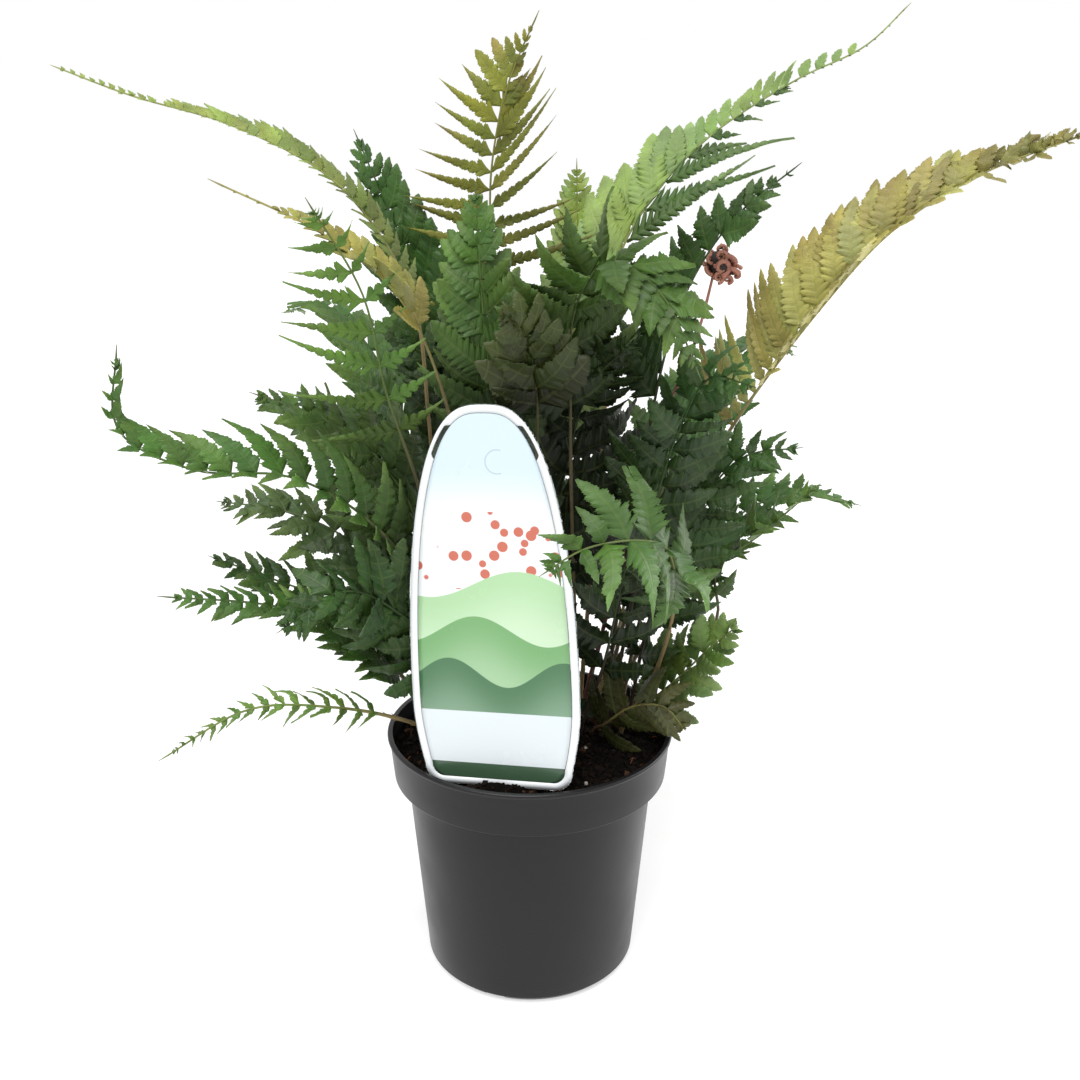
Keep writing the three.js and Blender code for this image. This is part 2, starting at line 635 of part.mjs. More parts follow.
// ---- Furled frond: a bare stem that ends in a knot of small coils ----
function furledGeometry(midrib) {
  const { at } = midrib.frame(head.stemEnd);
  const stations = [0, ...steps(midrib, midrib.emerge, head.stemEnd, head.stemStep), head.stemEnd];
  let body = tube(midrib, stations, head.stemGrow);
  const { coilRadius: r, coilThickness: t } = head;
  for (const [x, y, z, turn, size] of head.coils) {
    const coil = new THREE.TorusGeometry(r * size, t * size, head.tubeSides, head.coilSides);
    coil.rotateX(Math.PI / 2 + head.coilSplay * x);
    coil.rotateZ(turn * toRadians);
    coil.translate(at.x + x, at.y + y, at.z + z);
    body = body.add(solidOf(coil));
  }
  return body;
}

// ---- Pot ----
// Radius and height of the corners of the pot's inside, from its floor to its rim.
function potInside() {
  const collarFoot = pot.height - pot.collarHeight;
  const shoulder = collarFoot - pot.shoulderHeight;
  return {
    floor: [mix(pot.footRadius, pot.bodyTopRadius, pot.floor / shoulder) - pot.wall, pot.floor],
    shoulder: [pot.bodyTopRadius - pot.wall, shoulder + pot.wall],
    collar: [pot.rimRadius - pot.collarDraft - pot.wall, collarFoot + pot.wall],
    rim: [pot.rimRadius - pot.lip - pot.wall, pot.height],
  };
}

// Turns a profile of radius and height round the vertical axis.
function turned(profile, sides) {
  const lathe = new THREE.LatheGeometry(profile.map(([r, z]) => new THREE.Vector2(r, z)), sides);
  return lathe.rotateX(Math.PI / 2);
}

function potSolid() {
  const collarFoot = pot.height - pot.collarHeight;
  const inside = potInside();
  const profile = [
    [0, 0],
    [pot.footRadius - pot.footRound, 0],
    [pot.footRadius - pot.footRound * pot.footCorner, pot.footRound * pot.footCorner],
    [pot.footRadius, pot.footRound],
    [pot.bodyTopRadius, collarFoot - pot.shoulderHeight],
    [pot.rimRadius - pot.collarDraft, collarFoot],
    [pot.rimRadius - pot.lip, pot.height - 2 * pot.lip],
    [pot.rimRadius, pot.height - pot.lip],
    [pot.rimRadius - pot.lip * (1 - pot.lipTop), pot.height],
    inside.rim,
    inside.collar,
    inside.shoulder,
    inside.floor,
    [0, inside.floor[1]],
  ];
  let body = solidOf(turned(profile, pot.sides));
  for (let i = 0; i < pot.drainHoles; i += 1) {
    const angle = ((i + 0.5) * 2 * Math.PI) / pot.drainHoles;
    const { drainHoleRadius: r, drainHoleSides: sides } = pot;
    const hole = new THREE.CylinderGeometry(r, r, pot.floor * 4, sides);
    hole.rotateX(Math.PI / 2);
    hole.translate(pot.drainHoleRing * Math.cos(angle), pot.drainHoleRing * Math.sin(angle), pot.floor);
    body = body.subtract(solidOf(hole));
  }
  for (let i = 0; i < pot.notches; i += 1) {
    const notch = new THREE.BoxGeometry(pot.notchDepth * 2, pot.notchWidth, pot.notchHeight * 2);
    notch.translate(pot.footRadius, 0, 0);
    notch.rotateZ(((i + pot.notchTurn) * 2 * Math.PI) / pot.notches);
    body = body.subtract(solidOf(notch));
  }
  return body;
}

// ---- Soil ----
// Fills the pot to just under its rim.
function soilPlug() {
  const inside = potInside();
  const { clear } = soil;
  const upCollar = (soil.edgeHeight - inside.collar[1]) / (pot.height - inside.collar[1]);
  const edge = mix(inside.collar[0], inside.rim[0], upCollar);
  const profile = [
    [0, inside.floor[1] + clear],
    [inside.floor[0] - clear, inside.floor[1] + clear],
    [inside.shoulder[0] - clear, inside.shoulder[1] + clear / 2],
    [inside.collar[0] - clear, inside.collar[1] + clear],
    [edge - clear, soil.edgeHeight - soil.edgeRound],
    [edge - clear - soil.edgeRound, soil.edgeHeight],
    [soil.crestRadius, soil.crestHeight],
    [0, soil.crestHeight],
  ];
  return solidOf(turned(profile, pot.sides));
}

// ---- Rootstock: an upright body with a rounded foot and a bud on top ----
function crownGeometry([x, y], grow = 0) {
  const r = crown.radius + grow;
  const profile = [
    [0, crown.bottom - grow],
    [r * crown.footShare, crown.bottom - grow],
    [r, crown.bottom + crown.footRise],
    [r, crown.top - crown.budHeight],
    [r * crown.budShare, crown.top - crown.budRound + grow],
    [0, crown.top + grow],
  ];
  return turned(profile, crown.sides).translate(x, y, 0);
}

// ---- Label ----
// Half the plate's width at a height: it widens to its widest place and closes in a blunt arch.
function labelHalfWidth(v) {
  const rise = Math.sin((Math.min(v / label.widestAt, 1) * Math.PI) / 2);
  const low = mix(label.footHalfWidth, label.halfWidth, rise);
  const q = Math.max(0, (v - label.widestAt) / (label.height - label.widestAt));
  return low * Math.max(0, 1 - q ** label.archPower) ** (1 / label.archRoot);
}

// The plate and its pointed stake in one outline, stood up and turned into its place.
function labelGeometry(grow = 0) {
  const side = [];
  const r = label.cornerRadius;
  for (let i = 0; i <= label.cornerSteps; i += 1) {
    const a = (i / label.cornerSteps) * (Math.PI / 2);
    side.push([labelHalfWidth(r) - r + r * Math.sin(a) + grow, r - r * Math.cos(a) - grow]);
  }
  for (let i = 1; i < label.rows; i += 1) {
    const v = mix(r, label.height, 1 - (1 - i / label.rows) ** label.rowsUp);
    side.push([labelHalfWidth(v) + grow, v]);
  }
  const stake = [
    [-label.stakeHalfWidth - grow, -grow],
    [-label.stakeHalfWidth - grow, label.stakePoint - label.stakeLength],
    [0, -label.stakeLength - grow * 2],
    [label.stakeHalfWidth + grow, label.stakePoint - label.stakeLength],
    [label.stakeHalfWidth + grow, -grow],
  ];
  const outline = [
    ...stake,
    ...side,
    [0, label.height + grow],
    ...[...side].reverse().map(([u, v]) => [-u, v]),
  ];
  const shape = new THREE.Shape(outline.map(([u, v]) => new THREE.Vector2(u, v)));
  const depth = label.thickness + 2 * grow;
  const plate = new THREE.ExtrudeGeometry(shape, { depth, bevelEnabled: false });
  plate.translate(0, 0, -depth / 2);
  plate.rotateX(Math.PI / 2);
  plate.rotateY(label.roll * toRadians);
  plate.rotateX(label.lean * toRadians);
  plate.rotateZ(label.yaw * toRadians);
  plate.translate(...label.foot);
  return plate;
}

// ---- Assembly ----
const plant = new THREE.Group();
const everyFrond = [...fronds, furled];
const seats = new Map(
  Object.keys(crowns).flatMap((name) => seatsOf(name, everyFrond.filter((f) => f.crown === name))),
);
const midribs = new Map(everyFrond.map((f) => [f.name, new Midrib(f, seats.get(f.name))]));

const matt = (color, roughness) => new THREE.MeshStandardMaterial({ color, roughness, metalness: 0 });
const leafRoughness = 0.55;
const potBody = potSolid();
const plug = soilPlug();
const furledBody = furledGeometry(midribs.get(furled.name));

// What each leaflet is kept clear of: everything rigid, every rib, and the leaflets set before it.
const taken = [];
const take = (solid, owner, place) => taken.push({ solid, owner, place, box: solid.boundingBox() });
take(potBody, "pot");
take(solidOf(labelGeometry(leaflet.clear)), "label");
take(plug, "soil");
for (const centre of Object.values(crowns)) take(solidOf(crownGeometry(centre)), "crown");
take(furledBody, furled.name);
for (const f of fronds) {
  const midrib = midribs.get(f.name);
  take(tube(midrib, frondStations(f, midrib), rib.testGrow), f.name, "rib");
}

fronds.forEach((frond, index) => {
  const midrib = midribs.get(frond.name);
  const leaves = plan(frond, midrib, index + 1).map((leaf) => {
    const bent = settle(midrib, leaf, taken, frond.name);
    take(leafSolid(midrib, bent, 0), frond.name, bent.s);
    return bent;
  });
  plant.add(named(frond.name, frondGeometry(frond, midrib, leaves), matt(frond.colour, leafRoughness)));
});

plant.add(named(furled.name, geometryOf(furledBody), matt(furled.colour, leafRoughness)));
plant.add(named("pot", geometryOf(potBody), matt(0x3f3d3f, 0.5)));
for (const [name, centre] of Object.entries(crowns)) {
  plant.add(named(`rootstock_${name}`, crownGeometry(centre), matt(0x3a2417, 0.95)));
}

// Each stem, each rootstock and the label's stake stands in a plain hole.
let soilBody = plug.subtract(solidOf(labelGeometry(gap)));
for (const centre of Object.values(crowns)) soilBody = soilBody.subtract(solidOf(crownGeometry(centre, gap)));
for (const midrib of midribs.values()) {
  soilBody = soilBody.subtract(tube(midrib, [0, midrib.emerge], gap + head.stemGrow));
}
plant.add(named("soil", geometryOf(soilBody), matt(0x1c130d, 1)));
plant.add(named("label", labelGeometry(), matt(0xe9eef0, 0.3)));

export default plant;
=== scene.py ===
# Potted fern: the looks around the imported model. Shapes are worked out in millimetres.
import json
import math
import bpy
import numpy as np
from mathutils.kdtree import KDTree
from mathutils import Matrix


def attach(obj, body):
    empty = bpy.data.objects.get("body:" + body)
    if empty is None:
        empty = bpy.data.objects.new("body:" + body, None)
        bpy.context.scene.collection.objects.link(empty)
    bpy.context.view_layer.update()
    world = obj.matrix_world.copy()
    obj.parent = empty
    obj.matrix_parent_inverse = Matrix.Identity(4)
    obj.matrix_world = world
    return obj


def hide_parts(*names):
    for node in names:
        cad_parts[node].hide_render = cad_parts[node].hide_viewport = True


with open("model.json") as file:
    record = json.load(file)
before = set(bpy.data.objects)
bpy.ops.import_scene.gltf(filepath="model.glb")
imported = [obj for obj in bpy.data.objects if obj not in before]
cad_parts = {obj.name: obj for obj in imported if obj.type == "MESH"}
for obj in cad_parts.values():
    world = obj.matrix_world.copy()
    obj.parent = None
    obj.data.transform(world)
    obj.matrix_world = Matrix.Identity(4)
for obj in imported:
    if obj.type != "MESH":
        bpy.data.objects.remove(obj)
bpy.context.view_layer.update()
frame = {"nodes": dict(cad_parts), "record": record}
scene = bpy.context.scene
mm = 0.001


def mix(a, b, t):
    return a + (b - a) * t


def ease(t):  # t held to 0..1 with soft ends
    t = np.clip(t, 0, 1)
    return t * t * (3 - 2 * t)


def unit(v):
    return v / np.linalg.norm(v, axis=-1, keepdims=True)


def turned(a, b, angle):  # the pair a, b turned by an angle, from a to b
    return a * math.cos(angle) - b * math.sin(angle), a * math.sin(angle) + b * math.cos(angle)


def ringAngles(sides):
    return np.arange(sides) * 2 * np.pi / sides


def runAlong(path):  # distance along a path at each of its points
    return np.concatenate([[0], np.cumsum(np.linalg.norm(np.diff(path, axis=0), axis=1))])


def draw(n):  # a repeatable number from -1 to 1 for any number
    x = math.sin(n * 12.9898) * 43758.5453
    return 2 * (x - math.floor(x)) - 1


def colour(red, green, blue):  # screen colour 0..255 to linear
    c = np.array([red, green, blue]) / 255
    return np.where(c > 0.04045, ((c + 0.055) / 1.055) ** 2.4, c / 12.92)


# Smooth noise from -1 to 1: random heights on a lattice one cell apart, eased between its corners.
def hills(x, y, cell, seed, count=64):
    lattice = np.random.default_rng(seed).uniform(-1, 1, (count, count))
    ix, iy = np.floor(x / cell).astype(int), np.floor(y / cell).astype(int)
    fx, fy = ease(x / cell - ix), ease(y / cell - iy)
    at = [[lattice[(ix + a) % count, (iy + b) % count] for b in (0, 1)] for a in (0, 1)]
    return mix(mix(at[0][0], at[1][0], fx), mix(at[0][1], at[1][1], fx), fy)


# A pile gathers the points, faces, pattern places and tones (one colour a point) of many surfaces.
def newPile():
    return {"points": [], "faces": [], "slots": [], "uv": [], "tone": [], "count": 0}


def addSurface(pile, points, faces, uv, tone, slot=0):
    points = points.reshape(-1, 3)
    rgba = np.ones((len(points), 4))
    rgba[:, : np.shape(tone)[-1]] = tone
    pile["points"].append(points)
    pile["uv"].append(np.broadcast_to(uv, (len(points), 2)))
    pile["tone"].append(rgba)
    for group in faces:
        pile["faces"].append(group + pile["count"])
        pile["slots"].append(np.full(len(group), slot))
    pile["count"] += len(points)


# Many copies of one small shape. points: one row of corners for each copy. faces: those of one copy.
def addCopies(pile, points, faces, tones, slot=0):
    count, corners = points.shape[:2]
    copies = faces[None] + np.arange(count)[:, None, None] * corners
    tones = np.repeat(np.broadcast_to(tones, (count, 3)), corners, axis=0)
    addSurface(pile, points, [copies.reshape(-1, faces.shape[1])], (0, 0), tones, slot)


# Flat three-sided spikes, such as scales and hairs: foot + side, foot - side, foot + back and the tip.
def addSpikes(pile, foot, side, back, tip, tones):
    faces = np.array([[0, 2, 3], [2, 1, 3], [1, 0, 3], [0, 1, 2]])
    addCopies(pile, np.stack([foot + side, foot - side, foot + back, tip], 1), faces, tones)


# One mesh in metres from a pile. It rides on the plant's only body.
def makePiece(pile, name, materials, slotName, replaced=(), smooth=True):
    mesh = bpy.data.meshes.new(name)
    points = np.concatenate(pile["points"]) * mm
    corners = np.concatenate([f.ravel() for f in pile["faces"]])
    sizes = np.concatenate([np.full(len(f), f.shape[1]) for f in pile["faces"]])
    mesh.vertices.add(len(points))
    mesh.vertices.foreach_set("co", points.astype(np.float32).ravel())
    mesh.loops.add(len(corners))
    mesh.loops.foreach_set("vertex_index", corners.astype(np.int32))
    mesh.polygons.add(len(sizes))
    mesh.polygons.foreach_set("loop_start", (np.cumsum(sizes) - sizes).astype(np.int32))
    mesh.polygons.foreach_set("material_index", np.concatenate(pile["slots"]).astype(np.int32))
    mesh.polygons.foreach_set("use_smooth", np.full(len(sizes), smooth))
    uv = mesh.uv_layers.new(name="pattern")
    uv.data.foreach_set("uv", np.concatenate(pile["uv"])[corners].astype(np.float32).ravel())
    tone = mesh.attributes.new("tone", "FLOAT_COLOR", "POINT")
    tone.data.foreach_set("color", np.concatenate(pile["tone"]).astype(np.float32).ravel())
    mesh.update(calc_edges=True)
    for material in materials:
        mesh.materials.append(material)
    piece = bpy.data.objects.new(name, mesh)
    scene.collection.objects.link(piece)
    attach(piece, "root")
    if replaced:
        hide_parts(*replaced)
    return piece


# Faces of a closed thin sheet: a grid of points, the same grid below it, and the rim between them.
def sheetFaces(rows, cols):
    k = np.arange(rows * cols).reshape(rows, cols)
    a, b, c, d = k[:-1, :-1], k[1:, :-1], k[1:, 1:], k[:-1, 1:]
    top = np.stack([a, b, c, d], -1).reshape(-1, 4)
    low = np.stack([a, d, c, b], -1).reshape(-1, 4) + rows * cols
    ring = np.concatenate([k[:, 0], k[-1, 1:], k[-2::-1, -1], k[0, -2:0:-1]])
    after = np.roll(ring, -1)
    rim = np.stack([ring, ring + rows * cols, after + rows * cols, after], -1)
    return [np.concatenate([top, low, rim])]


# Faces of a closed tube: its walls, and a ladder of quads over each end.
def tubeFaces(rings, sides):
    k = np.arange(rings * sides).reshape(rings, sides)
    beside = np.roll(k, -1, axis=1)
    walls = np.stack([k[:-1], k[1:], beside[1:], beside[:-1]], -1).reshape(-1, 4)
    i = np.arange(sides // 2 - 1)
    ladder = np.stack([i, i + 1, sides - 2 - i, sides - 1 - i], -1)
    return [np.concatenate([walls, ladder, ladder[:, ::-1] + (rings - 1) * sides])]


# Pattern place on anything ringed: the run along it and the angle round it.
def ringPattern(path, angle):
    return np.stack(np.broadcast_arrays(runAlong(path)[:, None], angle[None]), -1).reshape(-1, 2)


# Round tube: each ring is its centre + radius * (right * cos a + up * sin a).
def addTube(pile, centres, right, up, radius, sides, tone, slot=0):
    angle = ringAngles(sides)
    turn = right[:, None] * np.cos(angle)[:, None] + up[:, None] * np.sin(angle)[:, None]
    points = centres[:, None] + turn * np.reshape(radius, (len(centres), -1, 1))
    tones = np.repeat(np.broadcast_to(tone, (len(centres), 3)), sides, 0)
    addSurface(pile, points, tubeFaces(len(centres), sides), ringPattern(centres, angle), tones, slot)


# Two sides of a path, carried along it without twist.
def pathSides(path):
    along = unit(np.gradient(path, axis=0))
    side = np.array([1.0, 0, 0]) if abs(along[0, 0]) < 0.8 else np.array([0, 1.0, 0])
    right = np.empty_like(path)
    for i, direction in enumerate(along):
        side = unit(side - direction * (side @ direction))
        right[i] = side
    return right, np.cross(right, along)


# Shader nodes. Each call adds one node to a tree and gives back its output.
def node(tree, kind, **settings):
    made = tree.nodes.new("ShaderNode" + kind)
    for key, value in settings.items():
        setattr(made, key, value)
    return made


def feed(tree, socket, value):
    if isinstance(value, bpy.types.NodeSocket):
        tree.links.new(value, socket)
    elif socket.type == "RGBA" and np.size(value) == 3:
        socket.default_value = (*value, 1)
    else:
        socket.default_value = value


def calc(tree, operation, *values):
    made = node(tree, "Math", operation=operation)
    for socket, value in zip(made.inputs, values):
        feed(tree, socket, value)
    return made.outputs[0]


def times(tree, a, b):
    return calc(tree, "MULTIPLY", a, b)


def blend(tree, share, a, b, mode="MIX"):
    made = node(tree, "Mix", data_type="RGBA", blend_type=mode)
    for index, value in ((0, share), (6, a), (7, b)):
        feed(tree, made.inputs[index], value)
    return made.outputs[2]


def span(tree, value, low, high, toLow=0.0, toHigh=1.0):
    made = node(tree, "MapRange", interpolation_type="SMOOTHSTEP")
    for socket, number in zip(made.inputs, (value, low, high, toLow, toHigh)):
        feed(tree, socket, number)
    return made.outputs[0]


def feedAll(tree, made, **values):
    for key, value in values.items():
        feed(tree, made.inputs[key], value)
    return made.outputs


def grain(tree, place, scale, detail=3.0, roughness=0.55):
    made = node(tree, "TexNoise")
    return feedAll(tree, made, Vector=place, Scale=scale, Detail=detail, Roughness=roughness)[0]


def stretched(tree, vector, scale):
    return feedAll(tree, node(tree, "Mapping"), Vector=vector, Scale=scale)[0]


def bump(tree, height, strength, distance):
    made = node(tree, "Bump")
    return feedAll(tree, made, Height=height, Strength=strength, Distance=distance)[0]


def objectPlace(tree):
    return node(tree, "TexCoord").outputs["Object"]


def patternPlace(tree):
    return node(tree, "UVMap", uv_map="pattern").outputs[0]


def toneOf(tree):
    return node(tree, "Attribute", attribute_name="tone").outputs["Color"]


def newMaterial(name, specular=0.5, **plain):  # plain: numbers and colours that are the same all over
    material = bpy.data.materials.new(name)
    material.use_nodes = True
    tree = material.node_tree
    shader = tree.nodes["Principled BSDF"]
    feedAll(tree, shader, **{"Specular IOR Level": specular}, **plain)
    return material, tree, shader.inputs


def newGroup(name, inputs, outputs):  # inputs: name -> (kind, default), outputs: name -> kind
    tree = bpy.data.node_groups.new(name, "ShaderNodeTree")
    for key, (kind, value) in inputs.items():
        socket = tree.interface.new_socket(key, in_out="INPUT", socket_type="NodeSocket" + kind)
        socket.default_value = value
    for key, kind in outputs.items():
        tree.interface.new_socket(key, in_out="OUTPUT", socket_type="NodeSocket" + kind)
    return tree, tree.nodes.new("NodeGroupInput").outputs, tree.nodes.new("NodeGroupOutput").inputs


def useGroup(tree, group, **values):
    return feedAll(tree, node(tree, "Group", node_tree=group), **values)


# Uneven tone: a colour made lighter and darker in soft patches, and the height of a fine grain.
def makeMottle():
    tree, inputs, outputs = newGroup(
        "mottle",
        {"Color": ("Color", (0.5, 0.5, 0.5, 1)), "Scale": ("Float", 60.0), "Depth": ("Float", 0.3)},
        {"Color": "Color", "Height": "Float"},
    )
    place = objectPlace(tree)
    patches = grain(tree, place, inputs["Scale"], 4.0)
    fine = grain(tree, place, times(tree, inputs["Scale"], 14.0), 2.0)
    light = calc(tree, "MULTIPLY_ADD", calc(tree, "SUBTRACT", patches, 0.5), 2.4, 1.0)
    shade = calc(tree, "MULTIPLY_ADD", calc(tree, "SUBTRACT", fine, 0.5), 0.8, light)
    grey = node(tree, "CombineColor")
    for socket in grey.inputs:
        feed(tree, socket, shade)
    feed(tree, outputs["Color"], blend(tree, inputs["Depth"], inputs["Color"], blend(
        tree, 1.0, inputs["Color"], grey.outputs[0], "MULTIPLY")))
    feed(tree, outputs["Height"], fine)
    return tree


mottle = makeMottle()
print("stage: tools ready")

studio = {
    "cameraPlace": (4.3, -460, 336),
    "cameraPitch": 72.15,  # degrees up from straight down
    "lens": 40.03,
    "sensor": 36,
    "floorSize": 12000,
    "floorColour": (200, 200, 200),
    "floorGlow": 0.5,  # the paper is lit from below too, which keeps shadows on it faint
    "paper": 1.0,  # brightness of the white backdrop as seen
    "ambient": 0.4,  # and of the light that it gives
    "mirrored": 0.8,  # how much of that brightness shows in reflections
    "sunStrength": 3.1,
    "sunTurn": -18,  # where the sun stands, in degrees round from the camera, and above the floor
    "sunHeight": 56,
    "sunSoftness": 50,
    "edgePlace": (620, 260, 420),  # a soft box behind the plant on the right, for its edges
    "edgeTarget": (0, 0, 180),
    "edgeSize": 500,
    "edgePower": 3.0,
    "nearest": 10,  # what the camera sees begins this far from it
}


def pointAt(thing, place, target):
    thing.location = np.array(place) * mm
    direction = unit(np.array(place, float) - np.array(target, float))
    thing.rotation_euler = (
        math.acos(direction[2]), 0, math.atan2(direction[1], direction[0]) + math.pi / 2)


def makeLamp(name, kind, place, target, power):
    lamp = bpy.data.objects.new(name, bpy.data.lights.new(name, kind))
    lamp.data.energy = power
    pointAt(lamp, place, target)
    scene.collection.objects.link(lamp)
    return lamp.data


def makeStudio():
    camera = bpy.data.objects.new("camera", bpy.data.cameras.new("camera"))
    camera.location = np.array(studio["cameraPlace"]) * mm
    camera.rotation_euler = (math.radians(studio["cameraPitch"]), 0, 0)
    camera.data.lens = studio["lens"]
    camera.data.sensor_width = studio["sensor"]
    camera.data.clip_start = studio["nearest"] * mm
    scene.collection.objects.link(camera)
    scene.camera = camera
    turn, high = math.radians(studio["sunTurn"]), math.radians(studio["sunHeight"])
    away = np.array([math.sin(turn), -math.cos(turn), math.tan(high)]) / mm
    sun = makeLamp("sun", "SUN", away, (0, 0, 0), studio["sunStrength"])
    sun.angle = math.radians(studio["sunSoftness"])
    edge = makeLamp("edge", "AREA", studio["edgePlace"], studio["edgeTarget"], studio["edgePower"])
    edge.size = studio["edgeSize"] * mm
    world = bpy.data.worlds.new("paper")
    world.use_nodes = True
    tree = world.node_tree
    sky = tree.nodes["Background"].inputs
    feed(tree, sky["Color"], (1, 1, 1))
    rays = node(tree, "LightPath").outputs
    straight = calc(tree, "MAXIMUM", rays["Is Camera Ray"], rays["Is Transmission Ray"])
    seen = calc(tree, "MAXIMUM", straight, times(tree, rays["Is Glossy Ray"], studio["mirrored"]))
    feed(tree, sky["Strength"], calc(
        tree, "MULTIPLY_ADD", seen, studio["paper"] - studio["ambient"], studio["ambient"]))
    scene.world = world
    scene.view_settings.view_transform = "Standard"
    half = studio["floorSize"] / 2 * mm
    floor = bpy.data.meshes.new("floor")
    corners = [(-half, -half, 0), (half, -half, 0), (half, half, 0), (-half, half, 0)]
    floor.from_pydata(corners, [], [(0, 1, 2, 3)])
    glow = {"Emission Color": (1, 1, 1), "Emission Strength": studio["floorGlow"]}
    material, tree, sockets = newMaterial("paperFloor", Roughness=0.9, **glow)
    shade = useGroup(tree, mottle, Color=colour(*studio["floorColour"]), Scale=3.0, Depth=0.02)
    feed(tree, sockets["Base Color"], shade["Color"])
    floor.materials.append(material)
    ground = bpy.data.objects.new("floor", floor)
    scene.collection.objects.link(ground)


makeStudio()
print("stage: camera, lights and floor")

pot = {
    "rimRadius": 60, "height": 106, "collarHeight": 19, "collarDraft": 2.6, "shoulder": 3,
    "lip": 1, "lipFlat": 0.4,  # the rim's bead, and the share of it that is rounded off on top
    "bodyTopRadius": 51.8, "footRadius": 45, "footRound": 3, "wall": 1.3, "floor": 1.6,
    "drainHoles": 8, "drainRadius": 3.6, "drainRing": 30,
    "notches": 6, "notchWidth": 9, "notchHeight": 2.6, "notchDepth": 5, "notchTurn": 0.17,
    "holeSides": 24, "middle": 3,  # radius of the two flat discs that close the floor
    "sides": 144, "rowStep": 6, "round": 0.45, "sharpFrom": 35,  # degrees
    "colour": (20, 19, 21), "scuff": (46, 45, 48), "specular": 0.31, "mouldRings": 160.0,
}


# Softens the corners of a profile: each corner becomes an arc-like run of points between its
# neighbours, which reaches less than half way to them.
def roundedProfile(points, reach, steps=5, most=0.48):
    points = np.array(points, float)
    out = [points[0]]
    for before, corner, after in zip(points[:-2], points[1:-1], points[2:]):
        toBefore, toAfter = before - corner, after - corner
        r = min(reach, np.linalg.norm(toBefore) * most, np.linalg.norm(toAfter) * most)
        start, end = corner + unit(toBefore) * r, corner + unit(toAfter) * r
        t = np.linspace(0, 1, steps)[:, None]
        out.extend((1 - t) ** 2 * start + 2 * t * (1 - t) * corner + t ** 2 * end)
    return np.array([*out, points[-1]])


# Turns a profile of (radius, height) round the axis. Its first and last points lie close to the axis.
def turnedGrid(profile, sides):
    angle = ringAngles(sides)
    radius, height = profile[:, :1], profile[:, 1:]
    spread = np.broadcast_to(height, (len(profile), sides))
    points = np.stack([radius * np.cos(angle), radius * np.sin(angle), spread], -1)
    return points, ringPattern(profile, angle)


def potLines():
    foot = pot["height"] - pot["collarHeight"]
    under = foot - pot["shoulder"]
    footIn = mix(pot["footRadius"], pot["bodyTopRadius"], pot["floor"] / under) - pot["wall"]
    outside = [
        (pot["middle"], 0), (pot["footRadius"] - pot["footRound"], 0), (pot["footRadius"], pot["footRound"]),
        (pot["bodyTopRadius"], under), (pot["rimRadius"] - pot["collarDraft"], foot),
        (pot["rimRadius"] - pot["lip"], pot["height"] - 2 * pot["lip"]),
        (pot["rimRadius"], pot["height"] - pot["lip"]),
        (pot["rimRadius"] - pot["lipFlat"] * pot["lip"], pot["height"]),
    ]
    inside = [
        (pot["rimRadius"] - pot["lip"] - pot["wall"], pot["height"]),
        (pot["rimRadius"] - pot["collarDraft"] - pot["wall"], foot + pot["wall"]),
        (pot["bodyTopRadius"] - pot["wall"], under + pot["wall"]),
        (footIn, pot["floor"]), (pot["middle"], pot["floor"]),
    ]
    return outside, inside


def makePotMaterial():
    material, tree, sockets = newMaterial("pottedPlastic", pot["specular"])
    shade = useGroup(tree, mottle, Color=colour(*pot["colour"]), Scale=18.0, Depth=0.08)
    place = objectPlace(tree)
    scuffs = grain(tree, stretched(tree, place, (1, 1, 9)), 90.0, 5.0, 0.7)
    scuffed = span(tree, scuffs, 0.6, 0.78, 0.0, 0.35)
    feed(tree, sockets["Base Color"], blend(tree, scuffed, shade["Color"], colour(*pot["scuff"])))
    feed(tree, sockets["Roughness"], span(tree, grain(tree, place, 25.0, 3.0), 0.3, 0.7, 0.3, 0.42))
    rings = node(tree, "TexWave", wave_type="BANDS", bands_direction="Z")
    rings = feedAll(tree, rings, Vector=place, Scale=pot["mouldRings"])
    height = calc(tree, "MULTIPLY_ADD", rings["Fac"], 0.15, shade["Height"])
    feed(tree, sockets["Normal"], bump(tree, height, 0.12, 0.0002))
    return material


def cutAway(piece, cutter):  # one difference, applied, with the cutter then removed
    cut = piece.modifiers.new("cut", "BOOLEAN")
    cut.object = cutter
    cut.solver = "MANIFOLD"
    bpy.context.view_layer.update()
    whole = piece.evaluated_get(bpy.context.evaluated_depsgraph_get())
    mesh = bpy.data.meshes.new_from_object(whole)
    piece.modifiers.clear()
    piece.data = mesh
    bpy.data.objects.remove(cutter)


# Upright prism round a centre, for the holes.
def addPrism(pile, centre, radius, height, sides, squash=(1, 1), turn=0.0):
    angle = ringAngles(sides) + (math.pi / 4 if sides == 4 else 0)
    x, y = radius * np.cos(angle) * squash[0], radius * np.sin(angle) * squash[1]
    ring = np.stack(turned(x, y, turn), -1)
    points = np.array([[(*p, z) for p in ring] for z in (height / 2, -height / 2)]) + centre
    addSurface(pile, points, tubeFaces(2, sides), (0, 0), (1, 1, 1))


